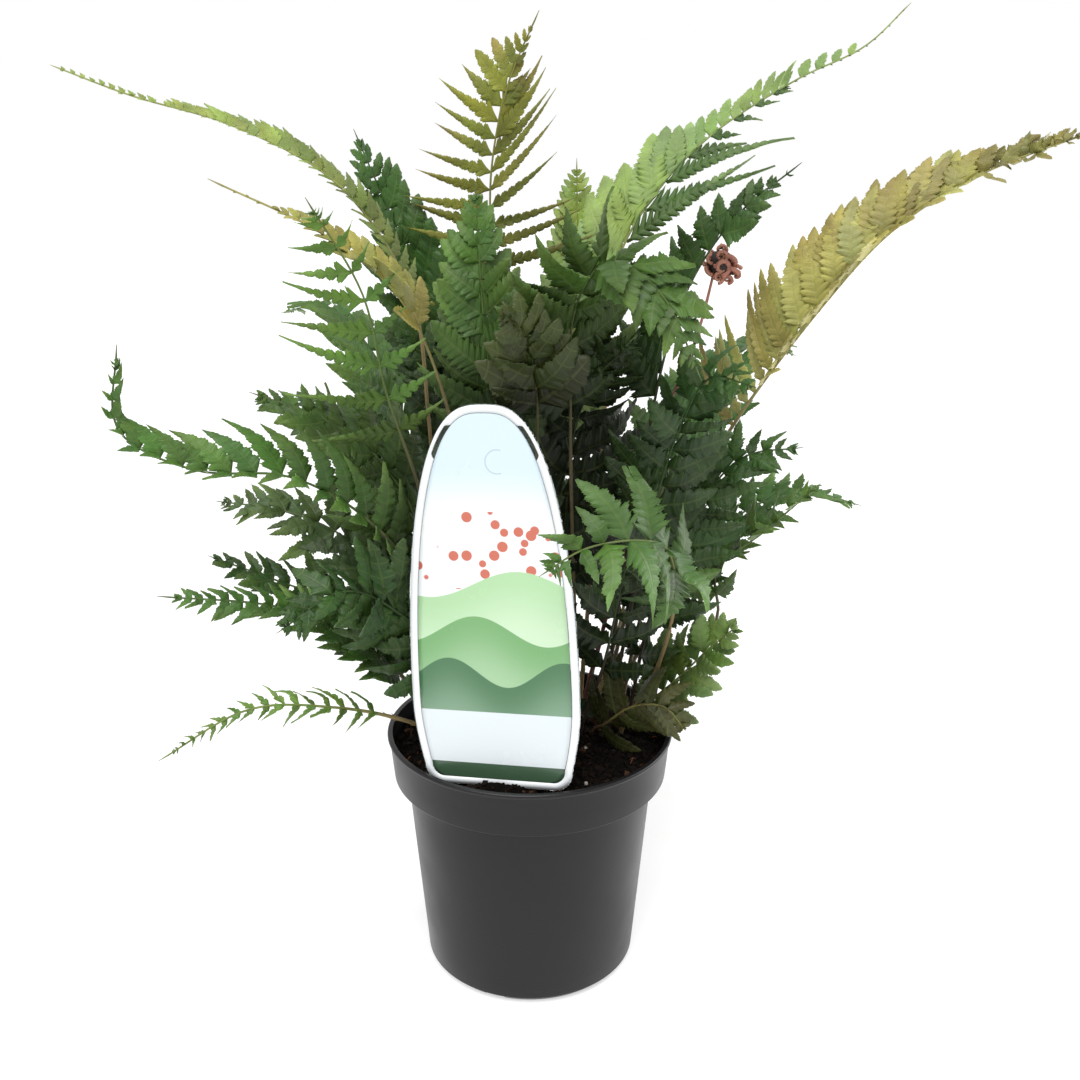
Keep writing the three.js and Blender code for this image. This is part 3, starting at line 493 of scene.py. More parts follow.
def makePot():
    outside, inside = potLines()
    profile = roundedProfile([*outside, *inside], pot["round"])
    profile = np.concatenate([profile[:1], *[
        mix(a, b, np.linspace(0, 1, max(2, int(np.linalg.norm(b - a) / pot["rowStep"]) + 1))[1:, None])
        for a, b in zip(profile[:-1], profile[1:])]])
    points, uv = turnedGrid(profile, pot["sides"])
    pile = newPile()
    addSurface(pile, points[:, ::-1], tubeFaces(len(profile), pot["sides"]), uv, (1, 1, 1))
    piece = makePiece(pile, "nurseryPot", [makePotMaterial()], "pot", ["pot"])
    cuts = newPile()
    for a in ringAngles(pot["drainHoles"]) + math.pi / pot["drainHoles"]:
        centre = np.array([math.cos(a), math.sin(a), 0]) * pot["drainRing"] + (0, 0, pot["floor"])
        addPrism(cuts, centre, pot["drainRadius"], 4 * pot["floor"], pot["holeSides"])
    square = np.array([pot["notchDepth"], pot["notchWidth"] / 2]) * math.sqrt(2)
    for a in ringAngles(pot["notches"]) + pot["notchTurn"] * 2 * math.pi / pot["notches"]:
        centre = np.array([math.cos(a), math.sin(a), 0]) * pot["footRadius"]
        addPrism(cuts, centre, 1, 2 * pot["notchHeight"], 4, square, a)
    cutter = makePiece(cuts, "potCutter", [], "pot", smooth=False)
    cutAway(piece, cutter)
    while len(piece.data.materials) > 1:
        piece.data.materials.pop()
    piece.data.polygons.foreach_set("use_smooth", np.ones(len(piece.data.polygons), bool))
    piece.data.set_sharp_from_angle(angle=math.radians(pot["sharpFrom"]))


makePot()
print("stage: pot")

soil = {
    "edgeHeight": 98.5, "crestHeight": 100.5, "crestRadius": 40, "clear": 0.36,
    "hills": ((1.1, 9, 11), (0.9, 3.6, 12), (0.55, 1.5, 13)),  # height, size and seed
    "sunkEdge": (51, 6, 1.2),  # from this radius the ground sinks, over how far, and how deep
    "rings": 120, "sides": 300, "crowding": 0.8, "middle": 0.02, "poleRadius": 0.05, "underRim": 0.3,
    "patches": (0.12, 0.2, 2.2),  # share of the crumbs' colour, how much it varies, and over what size
    "jitter": (0.75, 1.15), "raised": 0.25,  # how uneven lumps are, and how far they stand out
    # count, sizes, least and most stretch, colours, seed, and 0 for earth or 1 for bark
    "crumbs": (2600, (0.5, 2.0), (0.6, 1.3), ("colour", "crumb"), 21, 0),
    "chips": (190, (1.0, 2.6), (0.25, 1.3), ("crumb", "chip"), 22, 1),
    "grains": (18, (0.5, 1.0), (0.8, 1.2), ("white", "pale"), 23, 1),
    "reach": 56.0,  # of the crumbs and fibres, from the middle
    "fibres": 46, "fibreLength": (3, 9), "fibreHalf": (0.12, 0.26), "fibreLift": (0.3, 1.6),
    "fibreBend": 1.6, "fibreSteps": 8, "fibreTone": (0.4, 1.1), "specular": 0.12,
    "colour": (6, 4, 3), "crumb": (27, 19, 14), "chip": (74, 52, 36), "white": (200, 196, 186),
    "pale": (181, 177.4, 168.2), "fibre": (128, 74, 50),
    "heap": 6.0, "heapAt": (-12.5, -47.9), "heapSize": (11, 2.6),  # against the label's foot
}


def soilHeight(radius):
    t = np.clip((pot["rimRadius"] - radius) / (pot["rimRadius"] - soil["crestRadius"]), 0, 1)
    return mix(soil["edgeHeight"], soil["crestHeight"], t)


# Uneven ground: three sizes of hills on the gentle crest, lower where it meets the pot, and a small
# heap h * exp(-(dx/a)^2 - (dy/b)^2) before the label.
def ground(x, y):
    radius = np.hypot(x, y)
    rough = sum(height * hills(x, y, size, seed) for height, size, seed in soil["hills"])
    start, over, deep = soil["sunkEdge"]
    sunk = deep * ease((radius - start) / over)
    (midX, midY), (wide, long) = soil["heapAt"], soil["heapSize"]
    heap = soil["heap"] * np.exp(-((x - midX) / wide) ** 2 - ((y - midY) / long) ** 2)
    return soilHeight(radius) + rough + heap - sunk


# Many small closed lumps: one base shape, each copy stretched, turned and set down on the ground.
def addLumps(pile, shape, faces, count, sizes, stretch, tones, seed, slot):
    rng = np.random.default_rng(seed)
    radius = soil["reach"] * np.sqrt(rng.uniform(0, 1, count))
    angle = rng.uniform(0, 2 * np.pi, count)
    x, y = radius * np.cos(angle), radius * np.sin(angle)
    size = rng.uniform(*sizes, count)[:, None, None] * rng.uniform(*stretch, (count, 1, 3))
    turn = unit(rng.normal(size=(count, 4)))
    w, i, j, k = turn.T
    spin = np.stack([
        1 - 2 * (j * j + k * k), 2 * (i * j - k * w), 2 * (i * k + j * w),
        2 * (i * j + k * w), 1 - 2 * (i * i + k * k), 2 * (j * k - i * w),
        2 * (i * k - j * w), 2 * (j * k + i * w), 1 - 2 * (i * i + j * j)], -1).reshape(-1, 3, 3)
    jitter = rng.uniform(*soil["jitter"], (count, len(shape), 1))
    points = np.einsum("nij,nkj->nki", spin, shape[None] * jitter * size)
    points += np.stack([x, y, ground(x, y) + soil["raised"] * size.mean((1, 2))], -1)[:, None]
    low, high = (colour(*soil[key]) for key in tones)
    addCopies(pile, points, faces, mix(low, high, rng.uniform(0, 1, (count, 1))), slot)


def lumpShape():  # an eight-sided lump
    points = np.array([[1, 0, 0], [-1, 0, 0], [0, 1, 0], [0, -1, 0], [0, 0, 1], [0, 0, -1]], float)
    upper = [[0, 2, 4], [2, 1, 4], [1, 3, 4], [3, 0, 4]]
    lower = [[2, 0, 5], [1, 2, 5], [3, 1, 5], [0, 3, 5]]
    return points, np.array(upper + lower)


def roundShape(rings=5, sides=8, pole=0.12):  # a small ball, flat within an angle of its poles
    t = np.linspace(pole, math.pi - pole, rings)
    a = ringAngles(sides)
    points = np.stack([np.outer(np.sin(t), np.cos(a)), -np.outer(np.sin(t), np.sin(a)),
                       np.broadcast_to(np.cos(t)[:, None], (rings, sides))], -1)
    return points.reshape(-1, 3), tubeFaces(rings, sides)[0]


# Root fibres: thin tubes that bend along the ground and lift in the middle.
def addFibres(pile):
    rng = np.random.default_rng(77)
    steps = soil["fibreSteps"]
    for _ in range(soil["fibres"]):
        r, a = (soil["reach"] - 1) * math.sqrt(rng.uniform()), rng.uniform(0, 2 * math.pi)
        start = np.array([r * math.cos(a), r * math.sin(a)])
        turn, bend = rng.uniform(0, 2 * math.pi), rng.uniform(-soil["fibreBend"], soil["fibreBend"])
        length = rng.uniform(*soil["fibreLength"])
        t = np.linspace(0, 1, steps)
        heading = turn + bend * t
        flat = start + np.cumsum(np.stack([np.cos(heading), np.sin(heading)], -1), 0) * length / steps
        flat = flat * np.minimum(1, soil["reach"] / np.linalg.norm(flat, axis=1))[:, None]
        lift = rng.uniform(*soil["fibreLift"]) * np.sin(np.pi * t)
        path = np.column_stack([flat, ground(*flat.T) + soil["fibreLift"][0] + lift])
        right, up = pathSides(path)
        tone = colour(*soil["fibre"]) * rng.uniform(*soil["fibreTone"])
        addTube(pile, path, right, up, np.full(steps, rng.uniform(*soil["fibreHalf"])), 4, tone, 1)


def makeSoil():
    _, inside = potLines()
    lines = [(r - soil["clear"], z) for r, z in inside[1:-1]][::-1]
    lines[0] = (lines[0][0], lines[0][1] + soil["clear"])
    wallTop = inside[0][0] - soil["clear"] - soil["underRim"]
    radius = np.linspace(1, 0, soil["rings"]) ** soil["crowding"] * wallTop
    angle = ringAngles(soil["sides"])
    x, y = np.outer(radius, np.cos(angle)), np.outer(radius, np.sin(angle))
    surface = np.stack([x, y, ground(x, y)], -1)
    surface[-1] = surface[-1].mean(0) + soil["middle"] * (surface[-2] - surface[-2].mean(0))
    below, _ = turnedGrid(np.array([(soil["poleRadius"], lines[0][1]), *lines]), soil["sides"])
    points = np.concatenate([below, surface])[:, ::-1]
    share, vary, size = soil["patches"]
    share = share + vary * hills(points[..., 0], points[..., 1], size, 5)[..., None]
    tone = mix(colour(*soil["colour"]), colour(*soil["crumb"]), share)
    pile = newPile()
    addSurface(pile, points, tubeFaces(len(points), soil["sides"]), (0, 0), tone.reshape(-1, 3))
    addLumps(pile, *lumpShape(), *soil["crumbs"])
    addLumps(pile, *lumpShape(), *soil["chips"])
    addLumps(pile, *roundShape(), *soil["grains"])
    addFibres(pile)
    earth = makeToned("dampEarth", 0.95, 220.0, 0.55)
    chips = makeToned("barkAndFibre", 0.8, 400.0, 0.35)
    makePiece(pile, "pottingSoil", [earth, chips], "soil", ["soil"], smooth=False)


# A matt finish whose colour comes from the piece's tones, with uneven patches and a fine grain.
def makeToned(name, roughness, scale, depth):
    material, tree, sockets = newMaterial(name, soil["specular"], Roughness=roughness)
    shade = useGroup(tree, mottle, Color=toneOf(tree), Scale=scale, Depth=depth)
    feed(tree, sockets["Base Color"], shade["Color"])
    feed(tree, sockets["Normal"], bump(tree, shade["Height"], 0.5, 0.0005))
    return material


makeSoil()
print("stage: soil")

# The fronds' ribs and their rows of leaflets. path: where the rib runs from above the soil to its tip.
# face: where the blade's upper side looks. bare: share of the rib below the leaflets. tail: share left
# bare at the tip. reach: the longest leaflet. fold: how steeply the two sides rise into a V.
# lean: how far the leaflets lean to the tip, in degrees. broad: how much wider than usual they are.
plainFrond = {"pairs": 7, "tail": 0.02, "fold": 14, "lean": 26, "broad": 1}  # unless the frond says else
fronds = [
    {"name": "frond_left_high", "pairs": 9, "reach": 36, "bare": 0.55, "tail": 0.13,
     "fold": 18, "lean": 34, "face": (0.1, -0.25, 1), "colour": 0x8caa66,
     "path": [(-40, 10, 235), (-46, 11, 285), (-71, 12, 324), (-109, 18, 345), (-151, 24, 357),
              (-182, 30, 368)]},
    {"name": "frond_top_centre", "pairs": 10, "reach": 45, "bare": 0.58,
     "fold": 8, "lean": 20, "face": (0.2, -1, 0.1), "colour": 0x7c8a3e,
     "path": [(-10, 26, 218), (-15, 36, 291), (-15, 40, 330), (-8, 40, 362), (4, 38, 388)]},
    {"name": "frond_right_high", "pairs": 10, "reach": 46, "bare": 0.5, "tail": 0.17,
     "fold": 10, "face": (-0.3, -0.9, 0.45), "colour": 0x7ea66c,
     "path": [(31, 33, 229), (36, 45, 293), (52, 50, 321), (74, 56, 343), (110, 66, 365), (138, 72, 378),
              (157, 78, 395)]},
    {"name": "frond_right_olive", "pairs": 10, "reach": 38, "bare": 0.48,
     "fold": 36, "lean": 20, "face": (-0.6, -0.6, 0.7), "broad": 1.25, "colour": 0xa8b078,
     "path": [(51, 14, 165), (76, 7, 225), (110, -2, 280), (133, -8, 309), (160, -12, 328),
              (199, -18, 344)]},
    {"name": "frond_right_low", "reach": 24, "bare": 0.56,
     "fold": 30, "face": (-0.3, -0.6, 1), "colour": 0x4c7434,
     "path": [(56, 27, 116), (74, 28, 128), (81, 24, 146), (79, 20, 168), (96, 10, 188), (116, 2, 211)]},
    {"name": "frond_front_light", "pairs": 8, "reach": 37, "bare": 0.52,
     "lean": 12, "face": (0, -0.75, 0.8), "broad": 1.1, "colour": 0x4c7c44,
     "path": [(50, 1, 123), (55, -12, 148), (56, -28, 174), (50, -48, 200), (38, -63, 208),
              (19, -79, 210), (4, -92, 205)]},
    {"name": "frond_centre_sweep", "pairs": 9, "reach": 38, "bare": 0.56,
     "fold": 10, "lean": 22, "face": (0.35, -0.8, 0.6), "colour": 0x4a7a4c,
     "path": [(16, -6, 240), (17, -24, 283), (28, -38, 301), (45, -52, 291), (58, -64, 264)]},
    {"name": "frond_left_ladder", "pairs": 9, "reach": 43, "bare": 0.58,
     "fold": 6, "lean": 12, "face": (0.1, -1, 0.2), "colour": 0x4f7a35,
     "path": [(-40, -16, 205), (-51, -34, 255), (-57, -40, 290), (-74, -44, 322)]},
    {"name": "frond_left_low", "pairs": 9, "reach": 32, "bare": 0.44,
     "fold": 24, "lean": 32, "face": (0.3, -0.9, 0.6), "colour": 0x47743a,
     "path": [(-44, -14, 172), (-60, -36, 208), (-84, -52, 228), (-114, -62, 233), (-136, -68, 248),
              (-133, -70, 277)]},
    {"name": "frond_upper_mid", "pairs": 8, "reach": 36, "bare": 0.55,
     "fold": 10, "lean": 32, "face": (0.1, -1, 0.3), "broad": 1.1, "colour": 0x446f33,
     "path": [(-11, -4, 230), (-16, -12, 270), (-19, -10, 326)]},
    {"name": "frond_top_left_dark", "pairs": 8, "reach": 36, "bare": 0.52,
     "fold": 18, "lean": 36, "face": (0.5, -0.8, 0.3), "broad": 1.1, "colour": 0x35602b,
     "path": [(-28, 28, 225), (-42, 30, 280), (-68, 32, 345)]},
    {"name": "frond_left_tan", "pairs": 8, "reach": 22, "bare": 0.62, "tail": 0.08,
     "fold": 36, "lean": 30, "face": (0.35, -0.5, 0.9), "colour": 0xa8a468,
     "path": [(-25, -14, 221), (-44, -28, 285), (-68, -34, 308), (-106, -44, 328)]},
    {"name": "frond_right_dark", "reach": 26, "bare": 0.58, "tail": 0.04,
     "fold": 26, "lean": 30, "face": (-0.5, -0.8, 0.4), "colour": 0x2e5226,
     "path": [(45, -4, 225), (57, -10, 284), (74, -16, 314), (95, -24, 333)]},
    {"name": "frond_left_mid", "reach": 36, "bare": 0.46,
     "face": (0.3, -0.8, 0.7), "broad": 1.1, "colour": 0x42682f,
     "path": [(-42, -6, 190), (-58, -10, 224), (-78, -12, 240), (-106, -10, 250)]},
    {"name": "frond_left_dark", "reach": 35, "bare": 0.4,
     "fold": 16, "face": (0.2, -0.6, 0.9), "broad": 1.1, "colour": 0x2f5428,
     "path": [(-44, 24, 168), (-66, 32, 214), (-88, 36, 230), (-116, 38, 237)]},
    {"name": "frond_left_grey", "reach": 32, "bare": 0.38,
     "lean": 28, "face": (0.2, -0.7, 0.8), "colour": 0x44633e,
     "path": [(-54, 12, 158), (-76, 14, 184), (-100, 16, 195), (-130, 18, 199)]},
    {"name": "frond_left_shelf", "reach": 31, "bare": 0.34,
     "lean": 28, "face": (0.2, -0.6, 0.9), "colour": 0x355f2d,
     "path": [(-56, 0, 143), (-78, -6, 163), (-100, -10, 174), (-126, -14, 186)]},
    {"name": "frond_left_floor", "pairs": 9, "reach": 29, "bare": 0.34, "tail": 0.04,
     "lean": 30, "face": (0.2, -0.5, 0.9), "colour": 0x3c6830,
     "path": [(-50, -10, 130), (-68, -28, 156), (-92, -40, 174), (-134, -54, 184)]},
    {"name": "frond_left_bottom", "pairs": 8, "reach": 16, "bare": 0.42, "tail": 0.04,
     "fold": 10, "lean": 30, "face": (0.1, -0.3, 1), "colour": 0x66924c,
     "path": [(-48, -24, 119), (-74, -42, 134), (-104, -54, 139), (-135, -68, 125)]},
    {"name": "frond_left_inner", "reach": 31, "bare": 0.44,
     "fold": 12, "lean": 24, "face": (0.1, -0.8, 0.7), "broad": 1.1, "colour": 0x31592a,
     "path": [(-31, -19, 138), (-47, -31, 166), (-67, -52, 185), (-88, -70, 176)]},
    {"name": "frond_front_brown", "reach": 36, "bare": 0.58,
     "fold": 10, "lean": 24, "face": (0, -0.9, 0.5), "broad": 1.15, "colour": 0x4c5a2e,
     "path": [(3, -12, 222), (3, -24, 252), (-1, -38, 275), (-10, -54, 286)]},
    {"name": "frond_centre_dark", "reach": 40, "bare": 0.46,
     "fold": 12, "lean": 22, "face": (0.1, -0.9, 0.5), "broad": 1.15, "colour": 0x2b4a24,
     "path": [(10, 6, 180), (15, 4, 218), (24, -6, 252), (40, -22, 272)]},
    {"name": "frond_centre_back", "reach": 42, "bare": 0.46,
     "fold": 12, "lean": 22, "face": (-0.1, -0.9, 0.5), "broad": 1.15, "colour": 0x2f5428,
     "path": [(-14, 14, 170), (-24, 20, 218), (-36, 24, 250), (-54, 22, 270)]},
    {"name": "frond_right_mass", "reach": 34, "bare": 0.5,
     "lean": 24, "face": (0.2, -0.9, 0.5), "broad": 1.1, "colour": 0x365f34,
     "path": [(48, -3, 195), (57, -14, 236), (66, -26, 258), (80, -44, 258)]},
    {"name": "frond_right_fill", "reach": 35, "bare": 0.44,
     "lean": 24, "face": (0.2, -0.8, 0.6), "broad": 1.1, "colour": 0x335a2c,
     "path": [(52, 8, 158), (68, 4, 200), (84, 0, 222), (106, -8, 228)]},
    {"name": "frond_right_under", "reach": 28, "bare": 0.42,
     "fold": 12, "lean": 22, "face": (0.1, -0.9, 0.5), "broad": 1.1, "colour": 0x2b4a24,
     "path": [(30, -12, 138), (35, -22, 172), (36, -34, 188), (30, -50, 184)]},
    {"name": "frond_right_sprig", "pairs": 6, "reach": 18, "bare": 0.34,
     "fold": 16, "lean": 22, "face": (-0.2, -0.7, 0.8), "broad": 1.2, "colour": 0x6c9454,
     "path": [(51, 5, 114), (61, -3, 128), (74, -10, 146), (84, -14, 157)]},
    {"name": "frond_rim_right", "pairs": 5, "reach": 17, "bare": 0.4,
     "fold": 4, "face": (0.1, -0.9, 0.5), "broad": 1.3, "colour": 0x64703c,
     "path": [(31, -12, 112), (42, -20, 124), (54, -25, 126), (62, -30, 118)]},
    {"name": "frond_light_back", "reach": 32, "bare": 0.55,
     "fold": 10, "lean": 30, "face": (0, -0.9, 0.4), "colour": 0x7fa055,
     "path": [(10, 44, 215), (20, 66, 283), (20, 78, 334)]},
    {"name": "frond_back_left", "pairs": 9, "reach": 40, "bare": 0.4, "tail": 0.03,
     "face": (0.3, -0.2, 1), "colour": 0x3d692f,
     "path": [(-44, 40, 190), (-66, 70, 246), (-94, 102, 268), (-122, 132, 262)]},
    {"name": "frond_back", "pairs": 9, "reach": 42, "bare": 0.4, "tail": 0.03,
     "face": (0, -0.4, 1), "colour": 0x456f33,
     "path": [(-1, 46, 190), (-2, 84, 244), (-4, 120, 264), (-6, 154, 254)]},
    {"name": "frond_back_right", "pairs": 9, "reach": 42, "bare": 0.4, "tail": 0.03,
     "face": (-0.3, -0.2, 1), "colour": 0x3a6630,
     "path": [(54, 42, 184), (77, 78, 232), (104, 110, 250), (132, 138, 240)]},
    {"name": "frond_back_low", "reach": 34, "bare": 0.34, "tail": 0.03,
     "face": (-0.1, -0.2, 1), "colour": 0x50803c,
     "path": [(42, 48, 140), (46, 86, 172), (50, 118, 182), (54, 148, 174)]},
    {"name": "frond_right_back", "reach": 34, "bare": 0.38, "tail": 0.03,
     "face": (-0.3, -0.3, 1), "colour": 0x3a6630,
     "path": [(60, 36, 146), (90, 44, 184), (120, 50, 194), (148, 56, 186)]},
]
rib = {
    "footHalf": 1.1, "tipHalf": 0.45, "taper": 0.8, "seatDepth": 15, "clearOfSoil": 8, "seatUp": 0.0667,
    "samples": 401, "ringStep": 4.0, "sides": 8, "groove": 0.22, "grooveHalf": 0.5,
    "leafySlim": 0.72, "endSlim": 0.3, "knobs": (57, 0.04),  # how closely they follow, and how thick
    "scales": 34, "scaleReach": 46, "scaleLength": (1.4, 3.6), "scaleSpread": (0.15, 0.7),
    "scaleHalf": 0.35, "sharpFrom": 60,  # degrees
    "leastRings": 12, "scaleFoot": 0.7, "scaleBack": 0.1, "scaleTone": 0.9,
    "scalesLow": 1.6,  # above 1 gathers the scales near the soil
    "greening": (0.1, 0.3),  # it starts this share of the rib before the first leaflet, and its span
    "leafyTone": (1.15, 0.7),  # brightness of the leaf's colour there, and its share
}
leaflet = {
    # as in the solids: how far out of the blade their tips lie, how the leaflets stand and vary
    "cadHalf": 0.35, "near": 0.3, "widthShare": 0.2, "crowding": 1.3, "shortening": 0.75,
    "lowestPairs": 0.12, "lowestShare": 0.86, "tipLean": 14, "droop": -0.16, "sickle": 0.1,
    "varyLength": 0.09, "varyLift": 9, "varyLean": 6, "varyDroop": 0.12,
    # how those of the scene vary on top of that
    "wildLength": 0.1, "wildLift": 9, "wildLean": 6, "wildDroop": 0.07, "wildRoll": 10, "wildSickle": 0.6,
    "belowShorter": 1.5,  # how those below the first pair of the solid shorten down the stem
    "least": 2.5,  # the spacing counts as at least this
    "wider": 1.15,  # than in the solids
    "last": (0.62, 0.35, 0.15), "tailStep": 4.2, "tailEnd": 0.45,  # the short ones next to the tip
    "thickness": 0.35, "lobePlaces": (0, 0.1, 0.28, 0.44, 0.6, 0.76, 0.9), "peak": 0.58,
    "teeth": (1, 0.86, 1.02, 0.9, 1.07, 0.91, 1.05), "varyTeeth": 0.1,
    "firstNotch": 0.035, "lastNotch": 0.95, "beforeTip": 0.972, "columns": 5,
    "riseOver": 0.09, "riseStart": 0.25,  # how quickly the blade widens from its root
    "ear": (0.22, 0.08, 0.07),  # the front lobe at the root: extra width, its place and length
    "rootHalf": 0.6, "leastHalf": 0.2, "tipCut": 0.5,  # depth of the notches at the tip, against the root's
    "varySlant": 0.12, "lobeTilt": (0.14, 0.08), "lobeArch": (0.13, 0.06),  # usual and how it varies
    "vFold": 0.2, "arch": 0.16, "crumple": 0.4, "crumpleCell": 5.5, "buckle": 1.2, "buckleCell": 13,
    "curlFrom": 0.3, "curl": 0.18, "curlDown": -0.1, "twist": 0.5,
    "shades": (0.08, 0.12, -0.1),  # from leaf to leaf, towards the edges, and painted shade in the notches
    "tipShare": 0.6, "underShare": 0.6,  # of those colours in the blade's
    "bodyVary": (0.2, 0.1, 0.2),  # of a leaflet's brightness, red and blue
    "innerShade": 0.22,  # painted shade: how dark the leaves deep in the plant are coloured
    "heart": (5, 10, 240), "upward": 0.9, "darkTo": 20, "lightFrom": 115,  # what counts as deep, for that painted shade
}
# Kinds of leaflets. spacing: how far apart those on one side stand. fill: half-width as a share of it.
# cut: how deep the notches go, and round: how blunt the lobes between them are. basal: width of the
# side that looks to the stem, against the other. relief: how far the lobes are arched and tilted.
# shape: the powers a and b of the outline (1 - t^a)^b. lobe: length of one lobe, and slant: how far it
# leans to the tip. sickle: bend to the frond's tip. roll: how they lie over each other, like shingles,
# in degrees. wild: how uneven all is.
kinds = {
    "lobed": {"spacing": 9.5, "fill": 0.82, "cut": 0.32, "round": 1.9, "basal": 0.92, "shape": (2.0, 0.95),
              "lobe": 4.2, "slant": 0.5, "relief": 0.3, "sickle": 0.17, "roll": 12, "wild": 1.1},
    "comb": {"spacing": 9.5, "fill": 0.52, "cut": 0.74, "round": 3.6, "basal": 0.75, "shape": (1.3, 1.15),
             "lobe": 3.8, "slant": 0.95, "relief": 0.45, "sickle": 0.08, "roll": 6, "wild": 0.7},
    "joined": {"spacing": 6.5, "fill": 1.25, "cut": 0.24, "round": 1.8, "basal": 1.0, "shape": (3.0, 0.75),
               "lobe": 3.0, "slant": 0.6, "relief": 0.12, "sickle": 0.12, "roll": 4, "wild": 0.5},
    "curly": {"spacing": 14, "fill": 0.8, "cut": 0.24, "round": 1.5, "basal": 0.95, "shape": (2.2, 0.9),
              "lobe": 3.4, "slant": 0.5, "relief": 0.15, "sickle": 0.3, "roll": 8, "wild": 1.9},
}
